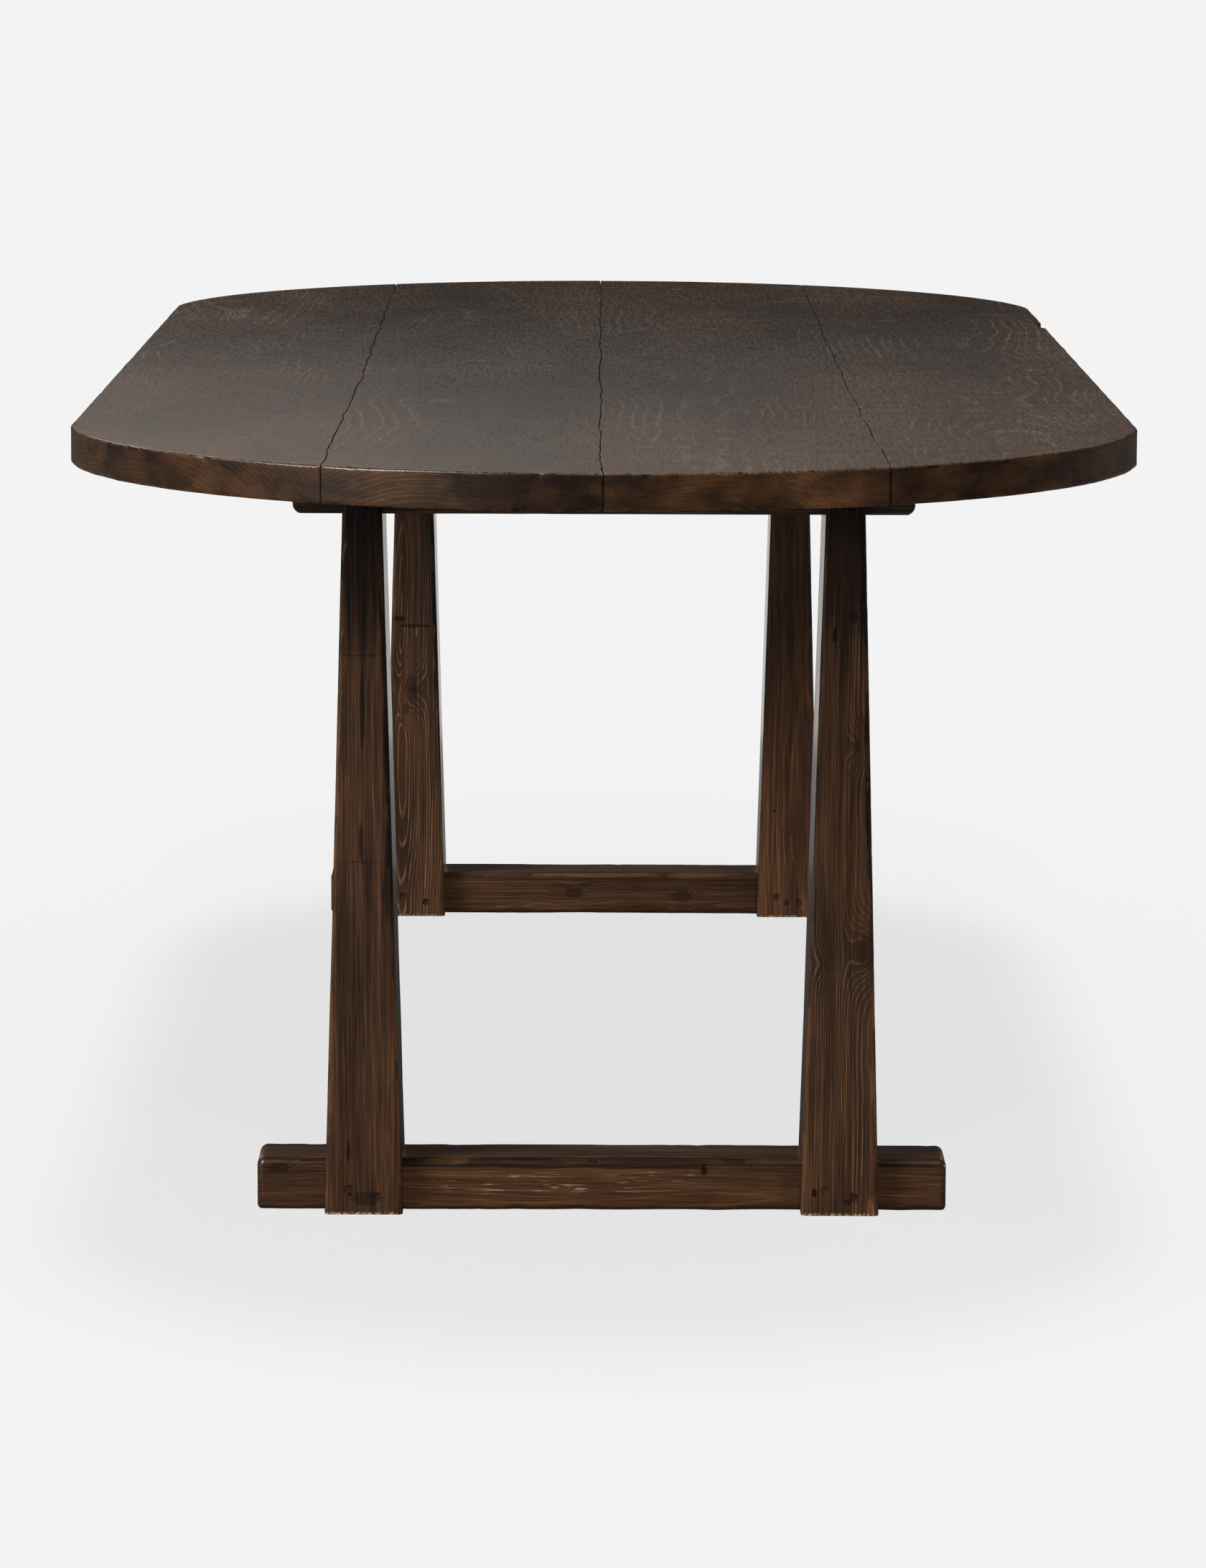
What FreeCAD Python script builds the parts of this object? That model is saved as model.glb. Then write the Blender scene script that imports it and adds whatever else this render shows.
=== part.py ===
import FreeCAD, Part
import math
import os
import Sketcher

# Round-ended dining table: four planks on two end frames with tapered legs.
# Frame: +Z up, +X across the table, +Y along it, origin on the floor under the middle of the top.
# Lengths are in millimetres.

# Driving sizes
SIZES = [
    ("table_length", 2550.0, "end to end of the top"),
    ("table_width", 1045.0, "side to side of the top"),
    ("end_corner_radius", 150.0, "easing between the straight sides and the round ends"),
    ("table_height", 762.0, "floor to the top face"),
    ("slab_thickness", 36.0, "thickness of the planks"),
    ("slab_upper_chamfer", 2.5, "bevel of the top's upper rim edge"),
    ("slab_lower_chamfer", 1.5, "bevel of the top's lower rim edge"),
    ("seam_gap", 0.6, "open seam between neighbouring planks"),
    ("tongue_width", 20.0, "loose tongue, across its seam"),
    ("tongue_thickness", 8.0, "loose tongue, in the planks' thickness"),
    ("tongue_rim_margin", 60.0, "how far a tongue stops short of the rim"),
    ("tongue_chamfer", 1.0, "eased long edges of a tongue"),
    ("end_overhang", 340.0, "from the end of the top in to the legs' outer faces"),
    ("leg_depth", 120.0, "leg, along the table"),
    ("leg_foot_width", 77.0, "leg, across the table at the floor"),
    ("leg_head_width", 37.0, "leg, across the table under the top"),
    ("leg_seam_setback", 10.25, "from an outer seam in to the leg's outer face at its head"),
    ("leg_arris_radius", 5.0, "rounding of the legs' four long edges"),
    ("rail_depth", 77.0, "both rails, along the table, between the legs' cheeks"),
    ("foot_rail_height", 52.0, "foot rail, standing on the floor"),
    ("foot_rail_overhang", 66.5, "foot rail past the leg's outer face at the floor"),
    ("foot_rail_radius", 8.0, "rounding of the foot rail's top and end edges"),
    ("foot_rail_sole_chamfer", 3.0, "bevel round the foot rail's underside"),
    ("head_rail_height", 40.0, "head rail, hanging under the top"),
    ("head_rail_end_margin", 24.75, "head rail past the outermost screw"),
    ("head_rail_end_radius", 10.0, "rounding of the head rail's lower end corners"),
    ("head_rail_chamfer", 2.0, "bevel of the head rail's long lower edges"),
    ("fit_clearance", 0.1, "between a piece and the slot or hole that it sits in, each side"),
    ("peg_width", 8.0, "eight-sided pegs through the joints, across the flats"),
    ("peg_recess", 2.0, "how far the pegs' ends lie inside the legs' faces"),
    ("screw_diameter", 6.0, "screws that hold the top down"),
    ("screw_tongue_gap", 1.5, "between an outer screw and the tongue beside it"),
    ("screw_slot_travel", 6.0, "how far a screw can shift across the table as the planks move"),
    ("screw_head_width", 10.0, "six-sided screw head, across the flats"),
    ("screw_head_height", 4.0, "six-sided screw head"),
    ("washer_width", 18.0, "square washer under a screw head"),
    ("washer_thickness", 1.6, "square washer under a screw head"),
    ("screw_recess", 8.0, "depth of the recess that hides a screw head and its washer"),
    ("cut_overrun", 5.0, "how far a cut runs past the face that it opens"),
    ("match_tolerance", 0.01, "for finding edges by their place"),
]

# Counts and shares
BOARDS = 4
END_BOW_SHARE = 0.445
SCREWS_PER_RAIL = 4
SCREW_HEAD_SIDES = 6
PEG_SIDES = 8
PEG_OFFSET_SHARE = 0.185
FOOT_PEG_HEIGHT_SHARE = 0.42
FOOT_PEG_STAGGER_SHARE = 0.07
HEAD_PEG_HEIGHT_SHARE = 0.5
HEAD_PEG_STAGGER_SHARE = 0.2
SCREW_GRIP_SHARE = 0.66
SCREW_HOLE_SHARE = 0.74

# Sizes and places worked out from the sheet
LENGTH = "sizes.table_length"
WIDTH = "sizes.table_width"
END_BOW = f"({END_BOW_SHARE} * {WIDTH})"
RIM_RADIUS = f"((({WIDTH} / 2) ^ 2 + {END_BOW} ^ 2) / (2 * {END_BOW}))"
RIM_CENTRE = f"({LENGTH} / 2 - {RIM_RADIUS})"
BOARD_WIDTH = f"(({WIDTH} - ({BOARDS} - 1) * sizes.seam_gap) / {BOARDS})"
BOARD_PITCH = f"({BOARD_WIDTH} + sizes.seam_gap)"
OUTER_SEAM_REACH = f"({RIM_CENTRE} + sqrt({RIM_RADIUS} ^ 2 - {BOARD_PITCH} ^ 2))"
INNER_SEAM_REACH = f"({LENGTH} / 2)"
SLAB_UNDERSIDE = "(sizes.table_height - sizes.slab_thickness)"
FRAME_CENTRE = f"({LENGTH} / 2 - sizes.end_overhang - sizes.leg_depth / 2)"
LEG_CENTRE = f"({BOARD_PITCH} - sizes.leg_seam_setback - sizes.leg_head_width / 2)"
SLOT_DEPTH = "(sizes.rail_depth + 2 * sizes.fit_clearance)"
FOOT_RAIL_LENGTH = f"(2 * ({LEG_CENTRE} + sizes.leg_foot_width / 2 + sizes.foot_rail_overhang))"
HEAD_RAIL_UNDERSIDE = f"({SLAB_UNDERSIDE} - sizes.head_rail_height)"
OUTER_SCREW = (
    f"({BOARD_PITCH} + sizes.tongue_width / 2 + sizes.screw_tongue_gap + sizes.screw_diameter / 2)"
)
HEAD_RAIL_LENGTH = f"(2 * ({OUTER_SCREW} + sizes.head_rail_end_margin))"
SCREW_SEAT = f"({HEAD_RAIL_UNDERSIDE} + sizes.screw_recess - sizes.washer_thickness)"
SCREW_LENGTH = f"({SLAB_UNDERSIDE} - {SCREW_SEAT} + {SCREW_GRIP_SHARE} * sizes.slab_thickness)"
SCREW_HOLE = "(sizes.screw_diameter + 2 * sizes.fit_clearance)"

# Each joint of a leg and a rail: the leg's width there, the rail's height and underside, its pegs' places
FOOT_JOINT = {
    "name": "foot",
    "leg_width": "sizes.leg_foot_width",
    "rail_height": "sizes.foot_rail_height",
    "rail_underside": "0",
    "height_share": FOOT_PEG_HEIGHT_SHARE,
    "stagger_share": FOOT_PEG_STAGGER_SHARE,
}
HEAD_JOINT = {
    "name": "head",
    "leg_width": "sizes.leg_head_width",
    "rail_height": "sizes.head_rail_height",
    "rail_underside": HEAD_RAIL_UNDERSIDE,
    "height_share": HEAD_PEG_HEIGHT_SHARE,
    "stagger_share": HEAD_PEG_STAGGER_SHARE,
}

doc = FreeCAD.newDocument("dining_table")
sheet = doc.addObject("Spreadsheet::Sheet", "sizes")
for row, (alias, number, meaning) in enumerate(SIZES, start=1):
    sheet.set(f"A{row}", meaning)
    sheet.set(f"B{row}", str(number))
    sheet.setAlias(f"B{row}", alias)
doc.recompute()

sub_parts = []


def value(expression):
    """The number that an expression gives now."""
    return float(sheet.evalExpression(expression))


def close(first, second):
    """True where two places are the same within the matching tolerance."""
    return abs(first - second) < value("sizes.match_tolerance")


def new_body(label, solids=1):
    """An empty body that will be written as one node with so many solids."""
    body = doc.addObject("PartDesign::Body", label)
    body.Label = label
    sub_parts.append((body, solids))
    return body


def place(body, across="0", along="0", up="0"):
    """Puts a body's own origin where three expressions say."""
    body.setExpression("Placement.Base.x", across)
    body.setExpression("Placement.Base.y", along)
    body.setExpression("Placement.Base.z", up)


def new_sketch(body, plane, name, right="0", upward="0", outward="0"):
    """A sketch on one of the body's origin planes, shifted in that plane and off it."""
    sketch = body.newObject("Sketcher::SketchObject", f"{body.Name}_{name}")
    support = [item for item in body.Origin.OriginFeatures if item.Role == plane][0]
    sketch.AttachmentSupport = (support, [""])
    sketch.MapMode = "FlatFace"
    sketch.setExpression("AttachmentOffset.Base.x", right)
    sketch.setExpression("AttachmentOffset.Base.y", upward)
    sketch.setExpression("AttachmentOffset.Base.z", outward)
    return sketch


def constrain(sketch, expression, *terms):
    """A dimension of the sketch, bound to an expression."""
    index = sketch.addConstraint(Sketcher.Constraint(*terms, value(expression)))
    sketch.setExpression(f"Constraints[{index}]", expression)


def draw_loop(sketch, corners):
    """Closed loop of straight lines; returns the lines' numbers."""
    points = [FreeCAD.Vector(x, y, 0) for x, y in corners]
    lines = []
    for start, end in zip(points, points[1:] + points[:1]):
        lines.append(sketch.addGeometry(Part.LineSegment(start, end), False))
    for line, following in zip(lines, lines[1:] + lines[:1]):
        sketch.addConstraint(Sketcher.Constraint("Coincident", line, 2, following, 1))
    return lines


def draw_trapezoid(sketch, lower_width, upper_width, height):
    """Symmetric trapezoid whose lower side is centred on the sketch's origin."""
    lower = value(lower_width) / 2
    upper = value(upper_width) / 2
    top = value(height)
    low, right, high, left = draw_loop(sketch, [(-lower, 0), (lower, 0), (upper, top), (-upper, top)])
    sketch.addConstraint(Sketcher.Constraint("Symmetric", low, 1, low, 2, -1, 1))
    sketch.addConstraint(Sketcher.Constraint("Symmetric", high, 1, high, 2, -2))
    sketch.addConstraint(Sketcher.Constraint("Horizontal", low))
    constrain(sketch, lower_width, "DistanceX", low, 1, low, 2)
    constrain(sketch, upper_width, "DistanceX", high, 2, high, 1)
    constrain(sketch, height, "DistanceY", right, 1, right, 2)


def draw_rectangle(sketch, width, height):
    """Rectangle centred on the sketch's origin."""
    half_width = value(width) / 2
    half_height = value(height) / 2
    corners = [
        (-half_width, -half_height),
        (half_width, -half_height),
        (half_width, half_height),
        (-half_width, half_height),
    ]
    low, right, high, left = draw_loop(sketch, corners)
    sketch.addConstraint(Sketcher.Constraint("Horizontal", low))
    sketch.addConstraint(Sketcher.Constraint("Horizontal", high))
    sketch.addConstraint(Sketcher.Constraint("Vertical", right))
    sketch.addConstraint(Sketcher.Constraint("Vertical", left))
    sketch.addConstraint(Sketcher.Constraint("Symmetric", low, 1, high, 1, -1, 1))
    constrain(sketch, width, "DistanceX", low, 1, low, 2)
    constrain(sketch, height, "DistanceY", right, 1, right, 2)


def draw_top_outline(sketch):
    """Two round ends joined by straight sides along Y, centred on the sketch's origin."""
    radius = value(RIM_RADIUS)
    offset = value(RIM_CENTRE)
    half_width = value(WIDTH) / 2
    reach = value(LENGTH) / 2 - value(END_BOW)
    opening = math.atan2(reach - offset, half_width)
    corners = [(half_width, reach), (-half_width, reach), (-half_width, -reach), (half_width, -reach)]
    points = [FreeCAD.Vector(x, y, 0) for x, y in corners]
    centres = [FreeCAD.Vector(0, y, 0) for y in (offset, -offset)]
    circles = [Part.Circle(centre, FreeCAD.Vector(0, 0, 1), radius) for centre in centres]
    far = sketch.addGeometry(Part.ArcOfCircle(circles[0], opening, math.pi - opening), False)
    left = sketch.addGeometry(Part.LineSegment(points[1], points[2]), False)
    near = sketch.addGeometry(Part.ArcOfCircle(circles[1], math.pi + opening, 2 * math.pi - opening), False)
    right = sketch.addGeometry(Part.LineSegment(points[3], points[0]), False)
    loop = [far, left, near, right]
    for edge, following in zip(loop, loop[1:] + loop[:1]):
        sketch.addConstraint(Sketcher.Constraint("Coincident", edge, 2, following, 1))
    sketch.addConstraint(Sketcher.Constraint("Equal", far, near))
    sketch.addConstraint(Sketcher.Constraint("PointOnObject", far, 3, -2))
    sketch.addConstraint(Sketcher.Constraint("Symmetric", far, 3, near, 3, -1, 1))
    sketch.addConstraint(Sketcher.Constraint("Vertical", left))
    sketch.addConstraint(Sketcher.Constraint("Vertical", right))
    sketch.addConstraint(Sketcher.Constraint("Equal", left, right))
    constrain(sketch, RIM_RADIUS, "Radius", far)
    constrain(sketch, f"2 * {RIM_CENTRE}", "DistanceY", near, 3, far, 3)
    constrain(sketch, WIDTH, "DistanceX", left, 1, right, 2)


def draw_circle(sketch, diameter):
    """Circle centred on the sketch's origin."""
    circle = Part.Circle(FreeCAD.Vector(0, 0, 0), FreeCAD.Vector(0, 0, 1), value(diameter) / 2)
    index = sketch.addGeometry(circle, False)
    sketch.addConstraint(Sketcher.Constraint("Coincident", index, 3, -1, 1))
    constrain(sketch, diameter, "Diameter", index)


def draw_polygon(sketch, count, across_flats):
    """Regular polygon centred on the sketch's origin with a level side on top."""
    corner = value(across_flats) / 2 / math.cos(math.pi / count)
    first = math.pi / 2 - 3 * math.pi / count
    angles = [first + 2 * math.pi * side / count for side in range(count)]
    sides = draw_loop(sketch, [(corner * math.cos(angle), corner * math.sin(angle)) for angle in angles])
    circle = Part.Circle(FreeCAD.Vector(0, 0, 0), FreeCAD.Vector(0, 0, 1), corner)
    ring = sketch.addGeometry(circle, True)
    sketch.addConstraint(Sketcher.Constraint("Coincident", ring, 3, -1, 1))
    for side in sides:
        sketch.addConstraint(Sketcher.Constraint("PointOnObject", side, 1, ring))
    for side in sides[1:]:
        sketch.addConstraint(Sketcher.Constraint("Equal", sides[0], side))
    sketch.addConstraint(Sketcher.Constraint("Horizontal", sides[1]))
    constrain(sketch, f"{across_flats} / cos(180 / {count})", "Diameter", ring)


def pad(body, sketch, length, both_ways=False):
    """Adds the sketch's region, thickened along its normal or to both sides of it."""
    feature = body.newObject("PartDesign::Pad", f"{sketch.Name}_pad")
    feature.Profile = sketch
    feature.setExpression("Length", length)
    feature.Midplane = both_ways
    doc.recompute()
    return feature


def pocket(body, sketch, length=None, both_ways=False):
    """Cuts the sketch's region along its normal to a depth, or right through, and checks that it cut."""
    before = body.Shape.Volume
    feature = body.newObject("PartDesign::Pocket", f"{sketch.Name}_pocket")
    feature.Profile = sketch
    if length is None:
        feature.Type = "ThroughAll"
        feature.Midplane = True
    else:
        feature.setExpression("Length", length)
        feature.Midplane = both_ways
        feature.Reversed = not both_ways
    doc.recompute()
    if not body.Shape.Volume < before:
        raise RuntimeError(f"{feature.Name} cuts nothing")
    return feature


def dress(body, kind, name, size_name, size, chosen):
    """Rounds or chamfers those edges of the body's last feature that the test picks."""
    base = body.Tip
    edges = [f"Edge{count}" for count, edge in enumerate(base.Shape.Edges, start=1) if chosen(edge)]
    if not edges:
        raise RuntimeError(f"{body.Name}_{name} finds no edge")
    feature = body.newObject(kind, f"{body.Name}_{name}")
    feature.Base = (base, edges)
    feature.setExpression(size_name, size)
    doc.recompute()
    return feature


def fillet(body, name, radius, chosen):
    """Rounded edges."""
    return dress(body, "PartDesign::Fillet", name, "Radius", radius, chosen)


def chamfer(body, name, size, chosen):
    """Bevelled edges."""
    return dress(body, "PartDesign::Chamfer", name, "Size", size, chosen)


def repeat(body, features, sketch, length, count):
    """Repeats features in an even row along the sketch's horizontal axis."""
    pattern = body.newObject("PartDesign::LinearPattern", f"{features[0].Name}_row")
    pattern.Originals = features
    pattern.Direction = (sketch, ["H_Axis"])
    pattern.setExpression("Length", length)
    pattern.Occurrences = count
    body.Tip = pattern
    doc.recompute()
    return pattern


def middle(edge):
    """A point halfway along an edge."""
    return edge.valueAt((edge.FirstParameter + edge.LastParameter) / 2)


def runs_along(edge, axis):
    """True for a straight edge along X, Y or Z."""
    start = edge.valueAt(edge.FirstParameter)
    end = edge.valueAt(edge.LastParameter)
    others = [name for name in ("x", "y", "z") if name != axis]
    return all(close(getattr(start, name), getattr(end, name)) for name in others)


def make_board(label, index):
    """One plank of the top, counted from the left: a strip of the whole slab."""
    last = BOARDS - 1
    centre = f"({index} - {last} / 2) * {BOARD_PITCH}"
    outer_side = {0: -1, last: 1}.get(index, 0)
    body = new_body(label)
    place(body, across=centre, up=SLAB_UNDERSIDE)
    outline = new_sketch(body, "XY_Plane", "outline", right=f"-({centre})")
    draw_top_outline(outline)
    pad(body, outline, "sizes.slab_thickness")
    fillet(body, "corners", "sizes.end_corner_radius", lambda edge: runs_along(edge, "z"))
    top = value("sizes.slab_thickness")
    chamfer(body, "upper_rim", "sizes.slab_upper_chamfer", lambda edge: close(middle(edge).z, top))
    chamfer(body, "lower_rim", "sizes.slab_lower_chamfer", lambda edge: close(middle(edge).z, 0))

    waste = new_sketch(body, "XY_Plane", "waste", right=f"{outer_side} * sizes.cut_overrun / 2")
    spare = f"{abs(outer_side)} * sizes.cut_overrun"
    draw_rectangle(waste, f"{BOARD_WIDTH} + {spare}", f"{LENGTH} + 2 * sizes.cut_overrun")
    draw_rectangle(waste, f"2 * {WIDTH}", f"{LENGTH} + 4 * sizes.cut_overrun")
    pocket(body, waste)
    for side in (-1, 1):
        if side != outer_side:
            cut_groove(body, index, side)

    screw = f"{OUTER_SCREW} * (2 * {index} / ({SCREWS_PER_RAIL} - 1) - 1)"
    for end_name, end in ENDS:
        pilot = new_sketch(
            body,
            "XY_Plane",
            f"{end_name}_pilot_hole",
            right=f"{screw} - {centre}",
            upward=f"{end} * {FRAME_CENTRE}",
        )
        draw_circle(pilot, SCREW_HOLE)
        pocket(body, pilot, f"{SCREW_HOLE_SHARE} * sizes.slab_thickness")


def cut_groove(body, index, side):
    """Stopped groove for a loose tongue in one long edge of a plank."""
    in_middle = 2 * index + side == BOARDS - 1
    reach = INNER_SEAM_REACH if in_middle else OUTER_SEAM_REACH
    groove = new_sketch(
        body,
        "XY_Plane",
        "left_groove" if side < 0 else "right_groove",
        right=f"{side} * {BOARD_WIDTH} / 2",
        outward="sizes.slab_thickness / 2",
    )
    draw_rectangle(
        groove,
        "sizes.tongue_width - sizes.seam_gap + 2 * sizes.fit_clearance",
        f"2 * ({reach} - sizes.tongue_rim_margin + sizes.fit_clearance)",
    )
    pocket(body, groove, "sizes.tongue_thickness + 2 * sizes.fit_clearance", both_ways=True)


def make_tongue(label, seam):
    """Loose tongue that lines up two planks, hidden in their grooves."""
    reach = OUTER_SEAM_REACH if seam else INNER_SEAM_REACH
    body = new_body(label)
    place(body, across=f"{seam} * {BOARD_PITCH}", up=f"{SLAB_UNDERSIDE} + sizes.slab_thickness / 2")
    outline = new_sketch(body, "XY_Plane", "outline")
    draw_rectangle(outline, "sizes.tongue_width", f"2 * ({reach} - sizes.tongue_rim_margin)")
    pad(body, outline, "sizes.tongue_thickness", both_ways=True)
    chamfer(body, "eased", "sizes.tongue_chamfer", lambda edge: runs_along(edge, "y"))


def peg_places(joint):
    """Where the two pegs of a joint lie from the leg's centre line and the rail's underside."""
    places = []
    for hand in (-1, 1):
        right = f"{hand} * {PEG_OFFSET_SHARE} * {joint['leg_width']}"
        share = joint["height_share"] - hand * joint["stagger_share"]
        places.append((right, f"{share} * {joint['rail_height']}"))
    return places


def cut_peg_holes(body, joint, name, across, underside):
    """The two peg holes of one joint, right through along Y."""
    for count, (right, upward) in enumerate(peg_places(joint), start=1):
        hole = new_sketch(
            body,
            "XZ_Plane",
            f"{name}_peg_hole_{count}",
            right=f"{across} + {right}",
            upward=f"{underside} + {upward}",
        )
        draw_polygon(hole, PEG_SIDES, "(sizes.peg_width + 2 * sizes.fit_clearance)")
        pocket(body, hole)


def cut_slot(body, joint, floor, top, closed_at, dress_corners, size):
    """Slot along X that a rail runs through; its closed corners follow the rail's own edges."""
    slot = new_sketch(body, "YZ_Plane", f"{joint['name']}_slot", upward=f"({floor} + {top}) / 2")
    draw_rectangle(slot, SLOT_DEPTH, f"{top} - {floor}")
    pocket(body, slot)
    height = value(closed_at)
    half_depth = value(SLOT_DEPTH) / 2

    def at_corner(edge):
        point = middle(edge)
        return runs_along(edge, "x") and close(point.z, height) and close(abs(point.y), half_depth)

    dress_corners(body, f"{joint['name']}_scribe", f"{size} + sizes.fit_clearance", at_corner)


def make_leg(label, side, end):
    """Tapered leg, slotted at its foot over the foot rail and at its head over the head rail."""
    body = new_body(label)
    place(body, across=f"{side} * {LEG_CENTRE}", along=f"{end} * {FRAME_CENTRE}")
    outline = new_sketch(body, "XZ_Plane", "outline")
    draw_trapezoid(outline, "sizes.leg_foot_width", "sizes.leg_head_width", SLAB_UNDERSIDE)
    pad(body, outline, "sizes.leg_depth", both_ways=True)
    half_height = value(SLAB_UNDERSIDE) / 2
    fillet(body, "arris", "sizes.leg_arris_radius", lambda edge: close(middle(edge).z, half_height))

    foot_top = "(sizes.foot_rail_height + sizes.fit_clearance)"
    below_foot = "(-sizes.cut_overrun)"
    cut_slot(body, FOOT_JOINT, below_foot, foot_top, foot_top, fillet, "sizes.foot_rail_radius")
    head_floor = f"({HEAD_RAIL_UNDERSIDE} - sizes.fit_clearance)"
    head_top = f"({SLAB_UNDERSIDE} + sizes.cut_overrun)"
    cut_slot(body, HEAD_JOINT, head_floor, head_top, head_floor, chamfer, "sizes.head_rail_chamfer")
    for joint in (FOOT_JOINT, HEAD_JOINT):
        cut_peg_holes(body, joint, joint["name"], "0", joint["rail_underside"])


def make_rail(label, end, joint, length, across_edges, around_edges):
    """Rail through both legs of a frame; two functions ease its edges before its peg holes are cut."""
    body = new_body(label)
    place(body, along=f"{end} * {FRAME_CENTRE}", up=joint["rail_underside"])
    height = joint["rail_height"]
    section = new_sketch(body, "YZ_Plane", "section", upward=f"{height} / 2")
    draw_rectangle(section, "sizes.rail_depth", height)
    pad(body, section, length, both_ways=True)
    across_edges(body)
    around_edges(body)
    for name, side in (("left", -1), ("right", 1)):
        cut_peg_holes(body, joint, name, f"{side} * {LEG_CENTRE}", "0")
    return body


def at_sole(edge):
    """True for an edge at the underside of a rail."""
    return close(middle(edge).z, 0)


def soften_foot_rail(body):
    """Rounds the foot rail's ends and upper edges."""
    fillet(body, "arris", "sizes.foot_rail_radius", lambda edge: not at_sole(edge))


def bevel_foot_rail(body):
    """Bevels the foot rail round its underside."""
    chamfer(body, "sole", "sizes.foot_rail_sole_chamfer", at_sole)


def round_head_rail(body):
    """Rounds the head rail's two lower end corners."""
    radius = "sizes.head_rail_end_radius"
    fillet(body, "end_corners", radius, lambda edge: runs_along(edge, "y") and at_sole(edge))


def bevel_head_rail(body):
    """Bevels the head rail's long lower edges, round the corners and up the ends."""
    half_depth = value("sizes.rail_depth") / 2
    top = value("sizes.head_rail_height")

    def on_lower_outline(edge):
        point = middle(edge)
        return close(abs(point.y), half_depth) and not close(point.z, top)

    chamfer(body, "bevel", "sizes.head_rail_chamfer", on_lower_outline)


def cut_screw_slots(body):
    """Slots across the table, so that the screws can follow the planks, each in a recess for head and washer."""
    slot = new_sketch(body, "XY_Plane", "screw_slot", right=f"-{OUTER_SCREW}")
    draw_rectangle(slot, f"{SCREW_HOLE} + sizes.screw_slot_travel", SCREW_HOLE)
    cuts = [pocket(body, slot)]
    recess = new_sketch(body, "XY_Plane", "screw_recess", right=f"-{OUTER_SCREW}")
    washer_room = "(sizes.washer_width + 2 * sizes.fit_clearance)"
    draw_rectangle(recess, f"{washer_room} + sizes.screw_slot_travel", washer_room)
    cuts.append(pocket(body, recess, "sizes.screw_recess"))
    repeat(body, cuts, slot, f"2 * {OUTER_SCREW}", SCREWS_PER_RAIL)


def make_pegs(label, end, joint):
    """The four pegs of one rail's two joints, their ends just inside the legs' faces."""
    places = peg_places(joint)
    body = new_body(label, solids=2 * len(places))
    place(body, across=f"-{LEG_CENTRE}", along=f"{end} * {FRAME_CENTRE}", up=joint["rail_underside"])
    pegs = []
    for count, (right, upward) in enumerate(places, start=1):
        outline = new_sketch(body, "XZ_Plane", f"outline_{count}", right=right, upward=upward)
        draw_polygon(outline, PEG_SIDES, "sizes.peg_width")
        pegs.append(pad(body, outline, "sizes.leg_depth - 2 * sizes.peg_recess", both_ways=True))
    repeat(body, pegs, outline, f"2 * {LEG_CENTRE}", 2)


def new_screw_row(label, end):
    """A body at the first screw of one rail, level with the underside of the screw heads' washers."""
    body = new_body(label, solids=SCREWS_PER_RAIL)
    place(body, across=f"-{OUTER_SCREW}", along=f"{end} * {FRAME_CENTRE}", up=SCREW_SEAT)
    return body


def make_screws(label, end):
    """Six-sided coach screws up through the head rail, one into each plank."""
    body = new_screw_row(label, end)
    section = new_sketch(body, "XY_Plane", "shank")
    draw_circle(section, "sizes.screw_diameter")
    shank = pad(body, section, SCREW_LENGTH)
    outline = new_sketch(body, "XY_Plane", "head", outward="-sizes.screw_head_height")
    draw_polygon(outline, SCREW_HEAD_SIDES, "sizes.screw_head_width")
    head = pad(body, outline, "sizes.screw_head_height")
    repeat(body, [shank, head], outline, f"2 * {OUTER_SCREW}", SCREWS_PER_RAIL)


def make_washers(label, end):
    """Square washers between the screw heads and the head rail."""
    body = new_screw_row(label, end)
    outline = new_sketch(body, "XY_Plane", "outline")
    draw_rectangle(outline, "sizes.washer_width", "sizes.washer_width")
    draw_circle(outline, SCREW_HOLE)
    washer = pad(body, outline, "sizes.washer_thickness")
    repeat(body, [washer], outline, f"2 * {OUTER_SCREW}", SCREWS_PER_RAIL)


ENDS = [("front", -1), ("rear", 1)]
BOARD_NAMES = ["outer_left", "inner_left", "inner_right", "outer_right"]
TONGUE_NAMES = [("left", -1), ("middle", 0), ("right", 1)]

for place_in_row, board_name in enumerate(BOARD_NAMES):
    make_board(f"top_board_{board_name}", place_in_row)
for tongue_name, seam_sign in TONGUE_NAMES:
    make_tongue(f"{tongue_name}_seam_tongue", seam_sign)
for end_name, end_sign in ENDS:
    make_leg(f"{end_name}_left_leg", -1, end_sign)
    make_leg(f"{end_name}_right_leg", 1, end_sign)
    foot_rail = f"{end_name}_foot_rail"
    make_rail(foot_rail, end_sign, FOOT_JOINT, FOOT_RAIL_LENGTH, soften_foot_rail, bevel_foot_rail)
    head_rail = f"{end_name}_head_rail"
    beam = make_rail(head_rail, end_sign, HEAD_JOINT, HEAD_RAIL_LENGTH, round_head_rail, bevel_head_rail)
    cut_screw_slots(beam)
    make_pegs(f"{end_name}_foot_pegs", end_sign, FOOT_JOINT)
    make_pegs(f"{end_name}_head_pegs", end_sign, HEAD_JOINT)
    make_screws(f"{end_name}_top_screws", end_sign)
    make_washers(f"{end_name}_screw_washers", end_sign)
doc.recompute()

for item in doc.Objects:
    if {"Invalid", "Error"} & set(item.State):
        raise RuntimeError(f"{item.Name} failed: {item.State}")
for body, solids in sub_parts:
    if body.Shape.isNull() or not body.Shape.isValid() or len(body.Shape.Solids) != solids:
        raise RuntimeError(f"{body.Label} has no sound shape")

os.makedirs("parts", exist_ok=True)
for body, solids in sub_parts:
    body.Shape.exportStep(os.path.join("parts", f"{body.Label}.step"))
print(f"{len(sub_parts)} sub-parts written")
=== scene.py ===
import math

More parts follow.
